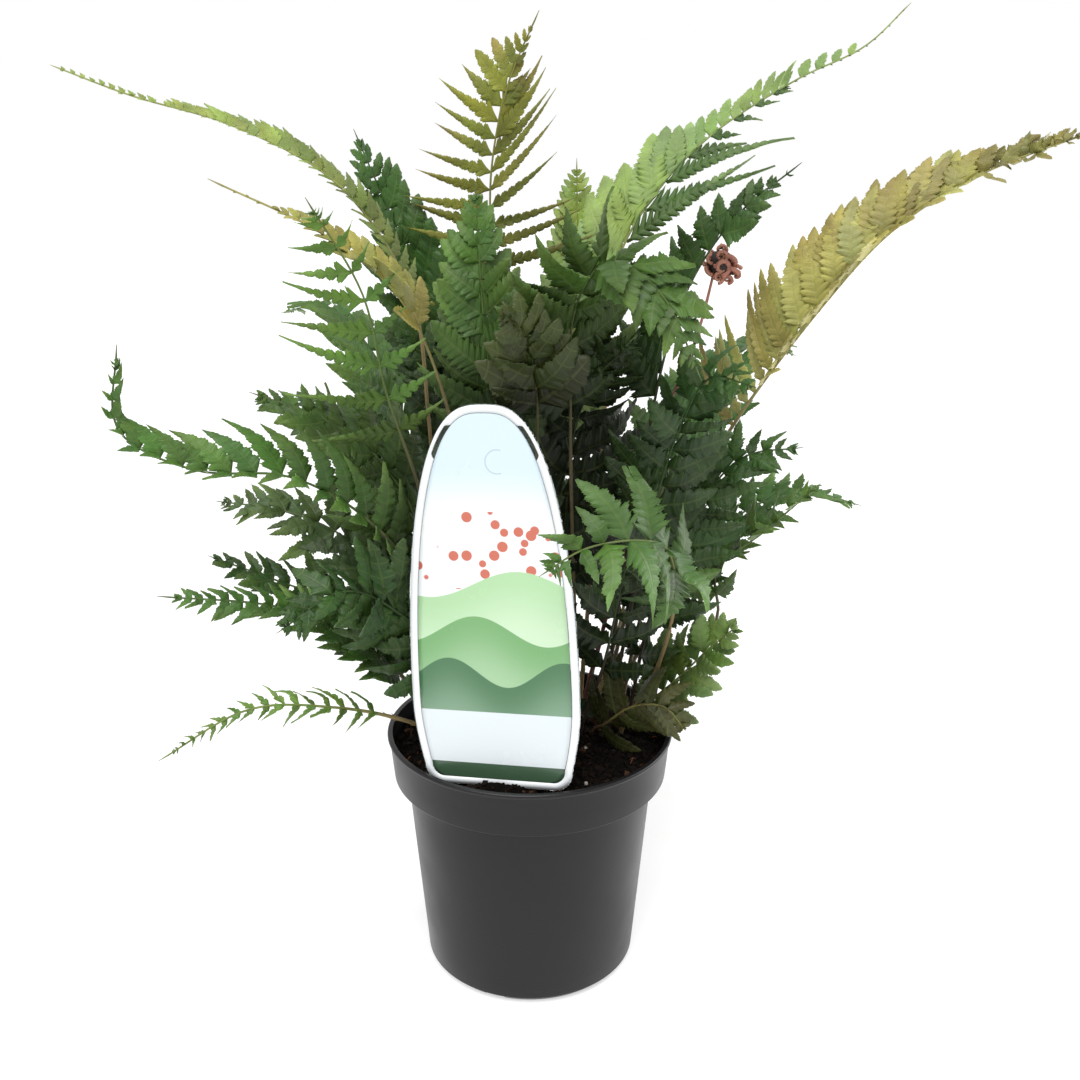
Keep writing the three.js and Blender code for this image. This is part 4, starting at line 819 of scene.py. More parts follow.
# How each frond differs from plain lobed leaflets, also on its right or left side alone (with its
# upper side in view and its tip up). reach: times the solid's length, from share 0 of the leafy part
# to 1. moreLean, moreLift: degrees on top of the solid's. outer: the kind beyond a share. below:
# leaflets added down the stem, or left out of it where less than 0. sparse: the share up to which
# every second one is left out. tint: times the colour. patchy: how much darker some leaflets are.
# colour, tip and under stand in for the frond's own. tailLeaf: length and half-width of the leaflets
# on the tail, tailStep: how far apart they stand, and tailBare: share of the tail without any. Any
# number here may be such a run of (share, value) pairs instead.
dress = {
    "frond_left_high": {
        "kind": "joined", "shape": (1.6, 1),
        "tint": ((0, 0.45), (0.3, 0.6), (0.55, 1)), "tailLeaf": (5.5, 1.5),
        "right": {"reach": ((0, 0.4), (0.35, 0.5), (0.5, 0.74), (1, 1.3)), "moreLean": 8, "moreLift": 14,
                  "spacing": 6.4, "cut": 0.36, "fill": ((0, 1), (0.3, 0.66), (1, 0.55))},
        "left": {"reach": ((0, 0.35), (0.4, 0.16), (1, 0.2)), "moreLean": 20, "tailLeaf": (2.5, 0.8)}},
    "frond_top_centre": {
        "kind": "comb", "basal": 0.85, "cut": ((0, 0.62), (0.6, 0.35)),
        "right": {"moreLean": ((0, -14), (0.3, -10), (0.42, 20), (1, 36)), "sparse": 0.25, "tint": 0.7,
                  "fill": ((0, 0.5), (0.45, 0.34), (0.7, 1)), "outer": (0.72, "joined"),
                  "reach": ((0, 1.2), (0.38, 1.1), (0.42, 1.35), (0.6, 1.25), (0.7, 0.5), (1, 0.3))},
        "left": {"moreLean": ((0, -26), (0.5, -20), (0.7, 4), (1, 20)), "sparse": 0.15,
                 "outer": (0.68, "joined"), "fill": ((0, 0.55), (0.55, 0.5), (0.7, 1)),
                 "reach": ((0, 0.95), (0.5, 1), (0.66, 1.12), (0.76, 1), (0.88, 0.62), (1, 0.35))}},
    "frond_right_high": {
        "right": {"kind": "comb", "moreLean": 24, "colour": 0x3c6034, "spacing": 15, "below": -2,
                  "cut": 0.88, "fill": 0.42, "tailLeaf": (1.6, 0.5),
                  "reach": ((0, 1.3), (0.3, 1.6), (0.44, 1.5), (0.54, 0.5), (1, 1))},
        "left": {"kind": "joined", "moreLean": ((0, 12), (0.5, 10), (1, 12)), "spacing": 8.5,
                 "relief": 0.05, "tailLeaf": (11, 2.6), "tailStep": 7.5, "tailBare": 0.35,
                 "fill": ((0, 1.25), (0.4, 1.2), (0.52, 0.46), (1, 0.42)),
                 "reach": ((0, 0.8), (0.35, 0.78), (0.5, 0.55), (0.75, 0.7), (0.9, 1.5), (1, 4.5))}},
    "frond_right_olive": {
        "kind": "joined", "shape": (2.8, 0.78), "patchy": 0.4, "cut": 0.34, "lobe": 3.2,
        "fill": ((0, 0.42), (0.14, 0.5), (0.24, 1.2)), "sickle": 0.2, "spacing": 5.4,
        "tint": ((0, 0.95), (0.6, 1), (0.72, 0.62), (1, 0.7)),
        "wild": ((0, 0.9), (0.2, 0.6), (0.6, 0.7), (0.72, 2.4), (1, 2.2)),
        "right": {"moreLift": 26, "reach": ((0, 0.45), (1, 0.45)), "spacing": 8, "below": -3},
        "left": {"moreLean": ((0, 0), (0.2, 2), (0.3, 14), (0.7, 14), (1, 0)),
                 "reach": ((0, 1.05), (0.14, 0.9), (0.3, 0.98), (0.55, 1.02), (0.7, 0.66), (1, 1.1))}},
    "frond_right_low": {"right": {"moreLift": 22}, "wild": 1.6},
    "frond_front_light": {"kind": "curly", "roll": -30, "broad": 1.2, "colour": 0x47743a, "cut": 0.32,
                          "tip": (114, 148, 86),
                          "left": {"moreLean": -30, "sickle": 0.5},
                          "right": {"moreLift": 16, "reach": ((0, 0.6), (0.4, 1.05), (1, 0.95))},
                          "reach": ((0, 0.62), (0.4, 1), (1, 1))},
    "frond_centre_sweep": {"fill": 1.0, "cut": 0.3, "lobe": 4.6, "broad": 1.25, "tint": 0.8,
                           "colour": 0x456c32},
    "frond_left_ladder": {"kind": "comb", "outer": (0.75, "lobed"), "below": -1, "spacing": 13,
                          "basal": 0.85, "fill": 0.42, "shape": (1.1, 1.3), "slant": 0.7,
                          "right": {"reach": ((0, 0.5), (1, 0.75))},
                          "left": {"reach": ((0, 1.05), (0.5, 1.12), (1, 1))}},
    "frond_left_low": {"right": {"sickle": 0.36, "fill": 0.56, "wild": 0.8},
                       "left": {"moreLift": 34, "reach": ((0, 0.55), (1, 0.5))}},
    "frond_upper_mid": {"outer": (0.3, "joined"), "fill": 0.86, "cut": 0.34, "wild": 0.9, "tint": 1.12},
    "frond_top_left_dark": {"fill": 1.1, "shape": (3, 0.8), "cut": 0.36, "lobe": 5.2},
    "frond_left_tan": {"kind": "joined", "fill": 0.9, "reach": 0.9, "moreLean": 14, "below": -3,
                       "patchy": 0.4, "tip": (142, 132, 76), "under": (150, 150, 90), "colour": 0xa6ae6c},
    "frond_right_dark": {"below": -1, "fill": 1.1, "broad": 1.5, "right": {"below": -9, "reach": 1.4},
                         "left": {"reach": ((0, 1.1), (1, 1.3))}},
    "frond_left_mid": {"wild": 1.6, "shape": (2.6, 0.85), "tint": 0.94},
    "frond_left_dark": {"wild": 1.6, "below": 1, "shape": (2.8, 0.8), "cut": 0.38},
    "frond_left_grey": {"wild": 1.5, "tint": 0.85},
    "frond_left_shelf": {"below": 2, "wild": 1.5, "tint": 0.66, "shape": (2.6, 0.85)},
    "frond_left_floor": {"below": 2, "fill": 0.65, "reach": ((0, 0.9), (0.5, 0.75), (1, 1))},
    "frond_left_bottom": {"kind": "comb", "spacing": 8, "fill": 0.34, "wild": 1.5, "moreLean": 6,
                          "tint": 0.8, "reach": ((0, 1.0), (1, 0.7))},
    "frond_left_inner": {"below": 3, "wild": 1.6, "shape": (3, 0.8), "cut": 0.4, "lobe": 5.4, "tint": 0.85},
    "frond_front_brown": {"kind": "joined", "fill": 1.1, "lobe": 6, "cut": 0.24, "wild": 1.2, "moreLean": 6,
                          "shape": (3.2, 0.72), "below": -5, "patchy": 0.4, "tint": 0.82, "relief": 0.06,
                          "colour": 0x44562a, "tip": (74, 86, 38), "under": (74, 84, 44)},
    "frond_centre_dark": {"below": 3, "wild": 1.6, "shape": (2.8, 0.8), "lobe": 5, "tint": 0.85},
    "frond_centre_back": {"below": 3, "wild": 1.5, "shape": (2.6, 0.85)},
    "frond_right_mass": {"below": 2, "wild": 1.5, "fill": 0.78, "shape": (2.8, 0.8), "cut": 0.36, "lobe": 5},
    "frond_right_fill": {"below": 3, "wild": 1.5, "fill": 0.78, "reach": 0.9},
    "frond_right_under": {"below": 4, "wild": 1.6, "fill": 0.9, "shape": (3, 0.8), "cut": 0.4, "lobe": 5.4},
    "frond_right_sprig": {"kind": "joined", "fill": 1.0, "spacing": 8, "cut": 0.3, "wild": 1.4, "tint": 1.02,
                          "reach": ((0, 1.2), (1, 1.7))},
    "frond_rim_right": {"kind": "joined", "fill": 0.62, "wild": 1.1, "spacing": 6, "moreLift": -12,
                        "moreLean": -8, "shape": (3.4, 0.7), "tint": 0.72, "patchy": 0.3,
                        "reach": ((0, 1.3), (0.5, 1.8), (1, 1.5))},
    "frond_light_back": {"kind": "joined"},
}
# Ways of bending a leaflet clear of its neighbours: share of its length, more lean, more lift.
bends = [(a, b, c) for a in (1, 0.8, 0.6, 0.42) for b in (0, 13, -13)
         for c in (0, 11, -11, 22, -22, 34, -34, 48, -48)]
# What each finish turns to: at the leaflets' tips, on the underside and on the stem.
looks = {
    "leaf_mid": {"tip": (110, 135, 60), "under": (128, 150, 100), "stem": (92, 82, 58)},
    "leaf_dark": {"tip": (74, 98, 48), "under": (96, 120, 78), "stem": (58, 48, 38)},
    "leaf_light": {"tip": (148, 174, 114), "under": (160, 182, 118), "stem": (134, 116, 76)},
    "leaf_olive": {"tip": (148, 124, 66), "under": (196, 188, 122), "stem": (112, 100, 70)},
    "leaf_brown": {"tip": (98, 98, 50), "under": (118, 116, 76), "stem": (96, 70, 50)},
}
leafTint = (0.9, 0.76, 0.52)  # what the light, the sheen and the paper floor make of the colours
slots = {part["node"]: part["material_slot"] for part in frame["record"]["subparts"]}


# Centripetal Catmull-Rom curve: between two points a cubic whose end slopes come from the neighbours,
# weighed by the square roots of the distances.
def smoothCurve(points):
    points = np.array(points, float)
    wide = np.concatenate([[2 * points[0] - points[1]], points, [2 * points[-1] - points[-2]]])
    gaps = np.sqrt(np.linalg.norm(np.diff(wide, axis=0), axis=1))

    def place(t):
        p = (len(points) - 1) * t
        i = np.clip(p.astype(int), 0, len(points) - 2)
        u = (p - i)[:, None]
        x0, x1, x2, x3 = (wide[i + k] for k in range(4))
        d0, d1, d2 = (gaps[i + k][:, None] for k in range(3))
        slope1 = ((x1 - x0) / d0 - (x2 - x0) / (d0 + d1) + (x2 - x1) / d1) * d1
        slope2 = ((x2 - x1) / d1 - (x3 - x1) / (d1 + d2) + (x3 - x2) / d2) * d1
        square = 3 * (x2 - x1) - 2 * slope1 - slope2
        cube = 2 * (x1 - x2) + slope1 + slope2
        return x1 + u * (slope1 + u * (square + u * cube))

    return place


def nodePoints(name):
    mesh = frame["nodes"][name].data
    points = np.empty(len(mesh.vertices) * 3, np.float32)
    mesh.vertices.foreach_get("co", points)
    return np.unique(np.round(points.reshape(-1, 3) / mm, 3), axis=0)


# A frond's rib: its length, and its place, growing direction, right side and upper side at a share
# of that length. The stem faces back over the pot and turns to the blade's face on its way up.
def makeRib(name, path, bare, face):
    corners = nodePoints(name)
    foot = corners[np.argsort(corners[:, 2])[:3]].mean(0)
    tip = np.array(path[-1], float)
    stemFace = unit(np.array([*(foot - tip)[:2], 0]))
    foot = foot - stemFace * rib["seatUp"] * rib["footHalf"]
    top = float(soilHeight(np.hypot(*foot[:2])))
    curve = smoothCurve([(*foot[:2], top - rib["seatDepth"]), (*foot[:2], top), *path])
    shares = np.linspace(0, 1, rib["samples"])
    run = runAlong(curve(shares))
    length = run[-1]
    emerge = (rib["seatDepth"] + rib["clearOfSoil"]) / length
    bladeFace = unit(np.array(face, float))
    tiny = 1e-4

    def frames(s):
        s = np.atleast_1d(s)
        t = np.interp(s * length, run, shares)
        along = unit(curve(np.minimum(t + tiny, 1)) - curve(np.maximum(t - tiny, 0)))
        facing = mix(stemFace, bladeFace, ease((s - emerge) / (bare - emerge))[:, None])
        up = unit(facing - along * np.sum(facing * along, 1, keepdims=True))
        return curve(t), along, np.cross(along, up), up

    return frames, length, corners


def ribHalf(s):
    return mix(rib["footHalf"], rib["tipHalf"], s ** rib["taper"])


def pairPlace(frond, i):
    return mix(frond["bare"], 1 - frond["tail"], 1 - (1 - i / frond["pairs"]) ** leaflet["crowding"])


def fullReach(frond, u):  # a leaflet's length at a share u of the leafy part
    lowest = leaflet["lowestShare"] if u < leaflet["lowestPairs"] else 1
    return frond["reach"] * (1 - u) ** leaflet["shortening"] * lowest


# A leaflet's point at a share t of its middle line, w across it and n out of its upper side.
def leafPlace(leaf, rails):
    at, along, right, up = rails
    lift, lean, roll = (math.radians(leaf[key]) for key in ("lift", "lean", "roll"))
    out = right * leaf["side"] * math.cos(lift) + up * math.sin(lift)
    width, direction = turned(along, out, lean)
    normal, width = turned(np.cross(direction, width) * leaf["side"], width, roll)
    length = leaf["length"]

    def place(t, w, n):
        t, w, n = (np.asarray(x, float)[..., None] for x in (t, w, n))
        across = w + leaf["sickle"] * length * t * t
        return at + direction * length * t + width * across + normal * (n + leaf["droop"] * length * t * t)

    return place


# The leaflets of the solid model, one row a side, each bent the way its solid is.
def plannedLeaves(frond, seed, frames, corners):
    tree = KDTree(len(corners))
    for i, point in enumerate(corners):
        tree.insert(point, i)
    tree.balance()
    rows = {1: [], -1: []}
    for i in range(frond["pairs"]):
        s, u = pairPlace(frond, i), i / frond["pairs"]
        rails = [x[0] for x in frames(s)]
        for side in (1, -1):
            n = seed * 100 + i * 2 + (side < 0)
            ratio = 1 + leaflet["varyLength"] * draw(n)
            full = fullReach(frond, u) * ratio
            leaf = {"side": side, "roll": 0, "sickle": leaflet["sickle"], "ratio": ratio,
                    "droop": leaflet["droop"] + leaflet["varyDroop"] * draw(n + 0.75)}
            lift = frond["fold"] + leaflet["varyLift"] * draw(n + 0.25)
            lean = frond["lean"] + leaflet["tipLean"] * u + leaflet["varyLean"] * draw(n + 0.5)
            for share, moreLean, moreLift in bends:
                leaf.update(length=full * share, lift=lift + moreLift, lean=lean + moreLean)
                tip = leafPlace(leaf, rails)(1, 0, leaflet["cadHalf"])
                if tree.find(tip)[2] < leaflet["near"]:
                    leaf["ratio"] *= share
                    break
            else:
                print("no match:", frond["name"], i, side)
            rows[side].append(leaf)
    return rows


# What the leaflets on one side of a frond are like at a share u of its leafy part.
def leafletKind(frond, side, u):
    dressed = dress.get(frond["name"], {})
    own = {**dressed, **dressed.get("right" if side > 0 else "left", {})}
    start, outer = own.get("outer", (2, None))
    kind = kinds[outer if u >= start else own.get("kind", "lobed")]
    whole = {"reach": 1, "moreLift": 0, "moreLean": 0, "below": 0, "sparse": 0, "tint": 1, "patchy": 0,
             "colour": frond["colour"], "broad": frond["broad"], **kind, **own}
    for key, value in whole.items():
        if isinstance(value, tuple) and isinstance(value[0], tuple):
            whole[key] = float(np.interp(u, *zip(*value)))
    return whole


# Fills a row: between two leaflets of the solid stand others of middling length and bend, and past its
# last pair a few short ones, out to the frond's tip. Each is then bent and sized a little at random.
def filledRow(frond, row, length, side, seed):
    pairs = frond["pairs"]
    first = (pairPlace(frond, 1) - pairPlace(frond, 0)) * length
    lowest = leafletKind(frond, side, 0)
    more = max(1, round(first / lowest["spacing"]))
    places = [i / more for i in range(-lowest["below"], pairs * more)]
    places += [pairs - gap / more for gap in leaflet["last"]]
    leaves = []
    for number, place in enumerate(places):
        u = place / pairs
        kind = leafletKind(frond, side, u)
        chance = [kind["wild"] * draw(seed + number * 2.3 + side + 0.31 * k) for k in range(6)]
        i = min(max(int(place), 0), pairs - 1)
        near, far = row[i], row[min(i + 1, pairs - 1)]
        share = max(0, place - i)
        leaf = {key: mix(near[key], far[key], share) for key in ("lift", "lean", "droop", "ratio")}
        s = pairPlace(frond, place)
        spacing = max(leaflet["least"], (pairPlace(frond, min(place + 1 / more, pairs)) - s) * length)
        reach = fullReach(frond, u) * leaf["ratio"] * kind["reach"]
        reach *= (1 + leaflet["wildLength"] * chance[0]) * min(1, 1 + leaflet["belowShorter"] * u)
        width = leaflet["widthShare"] * kind["broad"] * reach * leaflet["wider"]
        leaf.update(
            kind, s=s, side=side, length=reach, halfWidth=min(width, kind["fill"] * spacing),
            lift=leaf["lift"] + kind["moreLift"] + leaflet["wildLift"] * chance[1],
            droop=leaf["droop"] + leaflet["wildDroop"] * chance[2],
            lean=leaf["lean"] + kind["moreLean"] + leaflet["wildLean"] * chance[3],
            roll=kind["roll"] + leaflet["wildRoll"] * chance[4],
            sickle=kind["sickle"] * (1 + leaflet["wildSickle"] * chance[5]),
            seed=seed + number * 2.3 + side)
        if u >= kind["sparse"] or number % 2 == 0:
            leaves.append(leaf)
    last = leaves[-1]
    tailLength, tailHalf = last.get("tailLeaf", (last["length"] + 1, last["halfWidth"]))
    step = last.get("tailStep", leaflet["tailStep"])
    tail = frond["tail"] * length * (1 - last.get("tailBare", 0))
    for k in range(1, int(tail / step)):
        size = mix(leaflet["tailEnd"], 1, 1 - k * step / tail)
        leaves.append({**last, "s": 1 - frond["tail"] + k * step / length, "length": size * tailLength,
                       "halfWidth": size * tailHalf, "seed": seed + k * 3.7 + side})
    return leaves


# Painted shade: a leaf is coloured darker the deeper it sits in the plant, as if shaded by the fronds round
# it, and at full brightness at its outside.
def paintedDepthShade(points):
    x, y, z = np.moveaxis(points - leaflet["heart"], -1, 0)
    out = np.hypot(x, y) + np.maximum(0, z) * leaflet["upward"]
    low, high = leaflet["darkTo"], leaflet["lightFrom"]
    return mix(leaflet["innerShade"], 1, ease((out - low) / (high - low)))


# One leaflet with lobed, toothed edges. Along it t runs in lobes, each from one notch (0) to the next
# (1), and across it v runs from -1 to 1. Half-width = full half-width * quick rise * (1 - t^a)^b
# * (1 - cut * (distance from the lobe's peak)^round) * small teeth. Each lobe leans to the tip, is tilted
# and arched, and the whole blade is creased along its middle, crumpled, curled and twisted.
def addLeaflet(pile, leaf, rails, tones):
    length, half, wild, seed = (leaf[key] for key in ("length", "halfWidth", "wild", "seed"))
    vary = [draw(seed + 0.137 * k) for k in range(7)]
    count = max(3, round(length / leaf["lobe"]))
    number = np.repeat(np.arange(count), len(leaflet["lobePlaces"]))
    lobe = np.tile(leaflet["lobePlaces"], count)
    uneven = 1 + leaflet["varyTeeth"] * wild * np.array([draw(seed + 0.71 * k) for k in range(count)])
    tooth = np.tile(leaflet["teeth"], count) * uneven[number]
    notches = mix(leaflet["firstNotch"], leaflet["lastNotch"], (number + lobe) / count)

    def column(root, middle, beforeTip, tip):  # a value for each row of the grid
        return np.concatenate([[root], middle, [beforeTip, tip]])[:, None]

    t = column(0, notches, leaflet["beforeTip"], 1)
    u = column(0, number + lobe, count, count)
    lobe = column(0.0, lobe, 0.5, 0.5)
    tooth = column(1.0, tooth, 1, 1)
    v = np.linspace(-1, 1, leaflet["columns"])[None] * leaf["side"]
    peak = leaflet["peak"]
    fromPeak = np.where(lobe < peak, (peak - lobe) / peak, (lobe - peak) / (1 - peak))
    cut = leaf["cut"] * mix(1, leaflet["tipCut"], t ** 0.8)
    cut = cut * np.where(v < 0, min(1, leaf["basal"] + 0.1), 1)
    a, b = leaf["shape"]
    outline = ease(t / leaflet["riseOver"] + leaflet["riseStart"]) * (1 - t ** a) ** b
    extra, middle, spread = leaflet["ear"]
    ear = 1 + extra * np.exp(-((t - middle) / spread) ** 2) * (v > 0)
    width = half * outline * (1 - cut * fromPeak ** leaf["round"]) * tooth * ear
    width = width * np.where(v < 0, leaf["basal"], 1)
    width[0] = min(leaflet["rootHalf"], half)
    w = np.maximum(width, leaflet["leastHalf"] * (1 - 0.6 * t)) * v
    size = np.abs(w)
    pitch = length * 0.9 / count
    shear = (leaf["slant"] + leaflet["varySlant"] * vary[0]) * size / length * (1 - 0.8 * t)
    (tilt, varyTilt), (arch, varyArch) = leaflet["lobeTilt"], leaflet["lobeArch"]
    rise = leaf["relief"] * (tilt + varyTilt * vary[1]) * (lobe - 0.5) * size
    rise -= leaf["relief"] * (arch + varyArch * vary[2]) * (2 * lobe - 1) ** 2 * np.abs(v) * pitch
    rise += leaflet["vFold"] * (1 + vary[3] * wild) * size - leaflet["arch"] * v ** 2 * half
    along = t * length
    crumple = hills(along + seed * 17, w + 0 * t, leaflet["crumpleCell"], 31) * np.abs(v)
    buckle = hills(along + seed * 31, 3 * v + 0 * t, leaflet["buckleCell"], 32) * ease(t / 0.25)
    rise += (leaflet["crumple"] * crumple + leaflet["buckle"] * buckle) * wild
    curl = (leaflet["curl"] * vary[4] + leaflet["curlDown"]) * wild * length
    rise += curl * np.maximum(0, t - leaflet["curlFrom"]) ** 2
    twist = leaflet["twist"] * vary[5] * wild * t
    place = leafPlace(leaf, rails)
    thin = leaflet["thickness"] / 2
    points = np.stack([
        place(t + shear, w * np.cos(twist), rise + w * np.sin(twist) + face * thin) for face in (1, -1)])
    body, tip, under = tones
    each, edge, notch = leaflet["shades"]
    # the notch share is painted shade: a darker band across the blade at each notch between lobes
    shade = 1 + each * vary[6] + edge * np.abs(v) + notch * (fromPeak > 0.9)
    fade = ease((t - 0.3) / 0.7) * (0.5 + 0.5 * vary[2]) + 0 * v
    top = mix(body, tip, fade[..., None] * leaflet["tipShare"]) * shade[..., None]
    # painted shade: the tones are darkened deep in the plant
    tone = np.stack([top, mix(top, under, leaflet["underShare"])]) * paintedDepthShade(points)[..., None]
    uv = np.stack(np.broadcast_arrays(u, v), -1)
    uv = np.stack([uv, uv]).reshape(-1, 2)
    addSurface(pile, points, sheetFaces(len(t), leaflet["columns"]), uv, tone.reshape(-1, 3))


# Papery scales round the foot of a stem: flat three-sided spikes that lie along it.
def addScales(pile, frames, length, tone, seed, count, reach):
    rng = np.random.default_rng(seed)
    s = (rib["seatDepth"] + reach * rng.uniform(0, 1, count) ** rib["scalesLow"]) / length
    at, along, right, up = frames(s)
    angle = rng.uniform(0, 2 * np.pi, count)[:, None]
    out = right * np.cos(angle) + up * np.sin(angle)
    size = rng.uniform(*rib["scaleLength"], count)[:, None]
    spread = rng.uniform(*rib["scaleSpread"], count)[:, None]
    foot = at + out * ribHalf(s)[:, None] * rib["scaleFoot"]
    half = rib["scaleHalf"]
    side, back = np.cross(along, out) * half, out * half - along * rib["scaleBack"]
    addSpikes(pile, foot, side, back, foot + (along + out * spread) * size, tone * rib["scaleTone"])


# The rib: a grooved round stem, slimmer and greener where it carries leaflets.
def addRib(pile, frames, length, tones, bare):
    s = np.linspace(0, 1, max(rib["leastRings"], int(length / rib["ringStep"])))
    at, _, right, up = frames(s)
    angle = ringAngles(rib["sides"])
    groove = 1 - rib["groove"] * np.exp(-((angle - np.pi / 2) / rib["grooveHalf"]) ** 2)
    before, over = rib["greening"]
    leafy = ease((s - bare + before) / over)[:, None]
    often, thick = rib["knobs"]
    knobbly = 1 + thick * np.sin(s * often)[:, None]
    radius = ribHalf(s)[:, None] * groove * knobbly * mix(1, rib["leafySlim"], leafy)
    radius[-1] *= rib["endSlim"]
    stem, leaf = tones
    bright, share = rib["leafyTone"]
    tone = mix(stem, leaf * bright, leafy * share)
    addTube(pile, at, right, up, radius, rib["sides"], tone, 1)


def hexColour(value):
    return colour(value >> 16, value >> 8 & 255, value & 255)


def makeFronds():
    leafLook, stemLook = makeLeafMaterial(), makeStemMaterial()
    bright, red, blue = leaflet["bodyVary"]
    for index, own in enumerate(fronds):
        frond = {**plainFrond, **own}
        name = frond["name"]
        slot = slots[name]
        frames, length, corners = makeRib(name, frond["path"], frond["bare"], frond["face"])
        rows = plannedLeaves(frond, index + 1, frames, corners)
        pile = newPile()
        look = {**looks[slot], **dress.get(name, {})}
        tip, under, stem = (colour(*look[key]) for key in ("tip", "under", "stem"))
        for side in (1, -1):
            for leaf in filledRow(frond, rows[side], length, side, index * 211):
                rails = [x[0] for x in frames(leaf["s"])]
                chance = [draw(leaf["seed"] + 0.4 * k) for k in range(3)]
                tint = leaf["tint"] * (1 - leaf["patchy"] * max(0, chance[1])) * (1 + bright * chance[0])
                body = hexColour(leaf["colour"]) * leafTint
                blade = body * tint * (1 + red * chance[1], 1, 1 + blue * chance[2])
                addLeaflet(pile, leaf, rails, (blade, tip * tint, under * tint))
        addRib(pile, frames, length, (stem, body), frond["bare"])
        addScales(pile, frames, length, stem, index, rib["scales"], rib["scaleReach"])
        piece = makePiece(pile, name + "_leafy", [leafLook, stemLook], slot, [name])
        piece.data.set_sharp_from_angle(angle=math.radians(rib["sharpFrom"]))


# Leaf veins from the pattern (whole lobes along, -1 to 1 across): a midrib, one vein in each lobe and
# fine side veins. Gives 0 on the blade to 1 on a vein.
def makeVeins():
    tree, inputs, outputs = newGroup("veins", {"Fine": ("Float", 0.4)}, {"Vein": "Float", "Puff": "Float"})
    lobes, across, _ = feedAll(tree, node(tree, "SeparateXYZ"), Vector=patternPlace(tree))
    across = calc(tree, "ABSOLUTE", across)
    lobe = calc(tree, "FRACT", lobes)
    middle = span(tree, across, 0.05, 0.14, 1.0, 0.0)
    fromVein = calc(tree, "ABSOLUTE", calc(tree, "SUBTRACT", lobe, 0.5))
    lobeVein = span(tree, fromVein, 0.02, 0.08, 1.0, 0.0)
    slant = calc(tree, "MULTIPLY_ADD", fromVein, -9.0, times(tree, across, 8.0))
    side = calc(tree, "PINGPONG", slant, 0.5)
    fine = times(tree, span(tree, side, 0.02, 0.14, 1.0, 0.0), inputs["Fine"])
    feed(tree, outputs["Vein"], calc(tree, "MAXIMUM", middle, calc(tree, "MAXIMUM", lobeVein, fine)))
    feed(tree, outputs["Puff"], span(tree, fromVein, 0.5, 0.0, 0.0, 1.0))
    return tree


def makeLeafMaterial():
    material, tree, sockets = newMaterial("fernLeaf", 0.32)
    veins = useGroup(tree, makeVeins(), Fine=0.3)
    shade = useGroup(tree, mottle, Color=toneOf(tree), Scale=110.0, Depth=0.5)
    paler = blend(tree, 0.3, shade["Color"], (0.3, 0.36, 0.1))
    veined = blend(tree, times(tree, veins["Vein"], 0.26), shade["Color"], paler)
    freckle = span(tree, grain(tree, objectPlace(tree), 380.0, 2.0), 0.68, 0.76, 0.0, 0.3)
    feed(tree, sockets["Base Color"], blend(tree, freckle, veined, (0.08, 0.055, 0.015)))
    feed(tree, sockets["Roughness"], span(tree, shade["Height"], 0.3, 0.7, 0.36, 0.52))
    height = calc(tree, "MULTIPLY_ADD", veins["Vein"], -1.0, calc(
        tree, "MULTIPLY_ADD", veins["Puff"], 0.5, times(tree, shade["Height"], 0.3)))
    feed(tree, sockets["Normal"], bump(tree, height, 0.32, 0.00035))
    return material


def makeStemMaterial():
    material, tree, sockets = newMaterial("fernStem", 0.4)
    shade = useGroup(tree, mottle, Color=toneOf(tree), Scale=90.0, Depth=0.45)
    streaks = grain(tree, stretched(tree, patternPlace(tree), (0.05, 2.0, 1)), 3.0, 3.0)
    feed(tree, sockets["Base Color"], blend(
        tree, span(tree, streaks, 0.45, 0.7, 0.0, 0.5), shade["Color"],
        blend(tree, 1.0, shade["Color"], (0.45, 0.4, 0.38), "MULTIPLY")))
    feed(tree, sockets["Roughness"], span(tree, streaks, 0.3, 0.7, 0.45, 0.65))
    feed(tree, sockets["Normal"], bump(tree, calc(tree, "ADD", streaks, shade["Height"]), 0.4, 0.0003))
    return material


makeFronds()
print("stage: fronds")

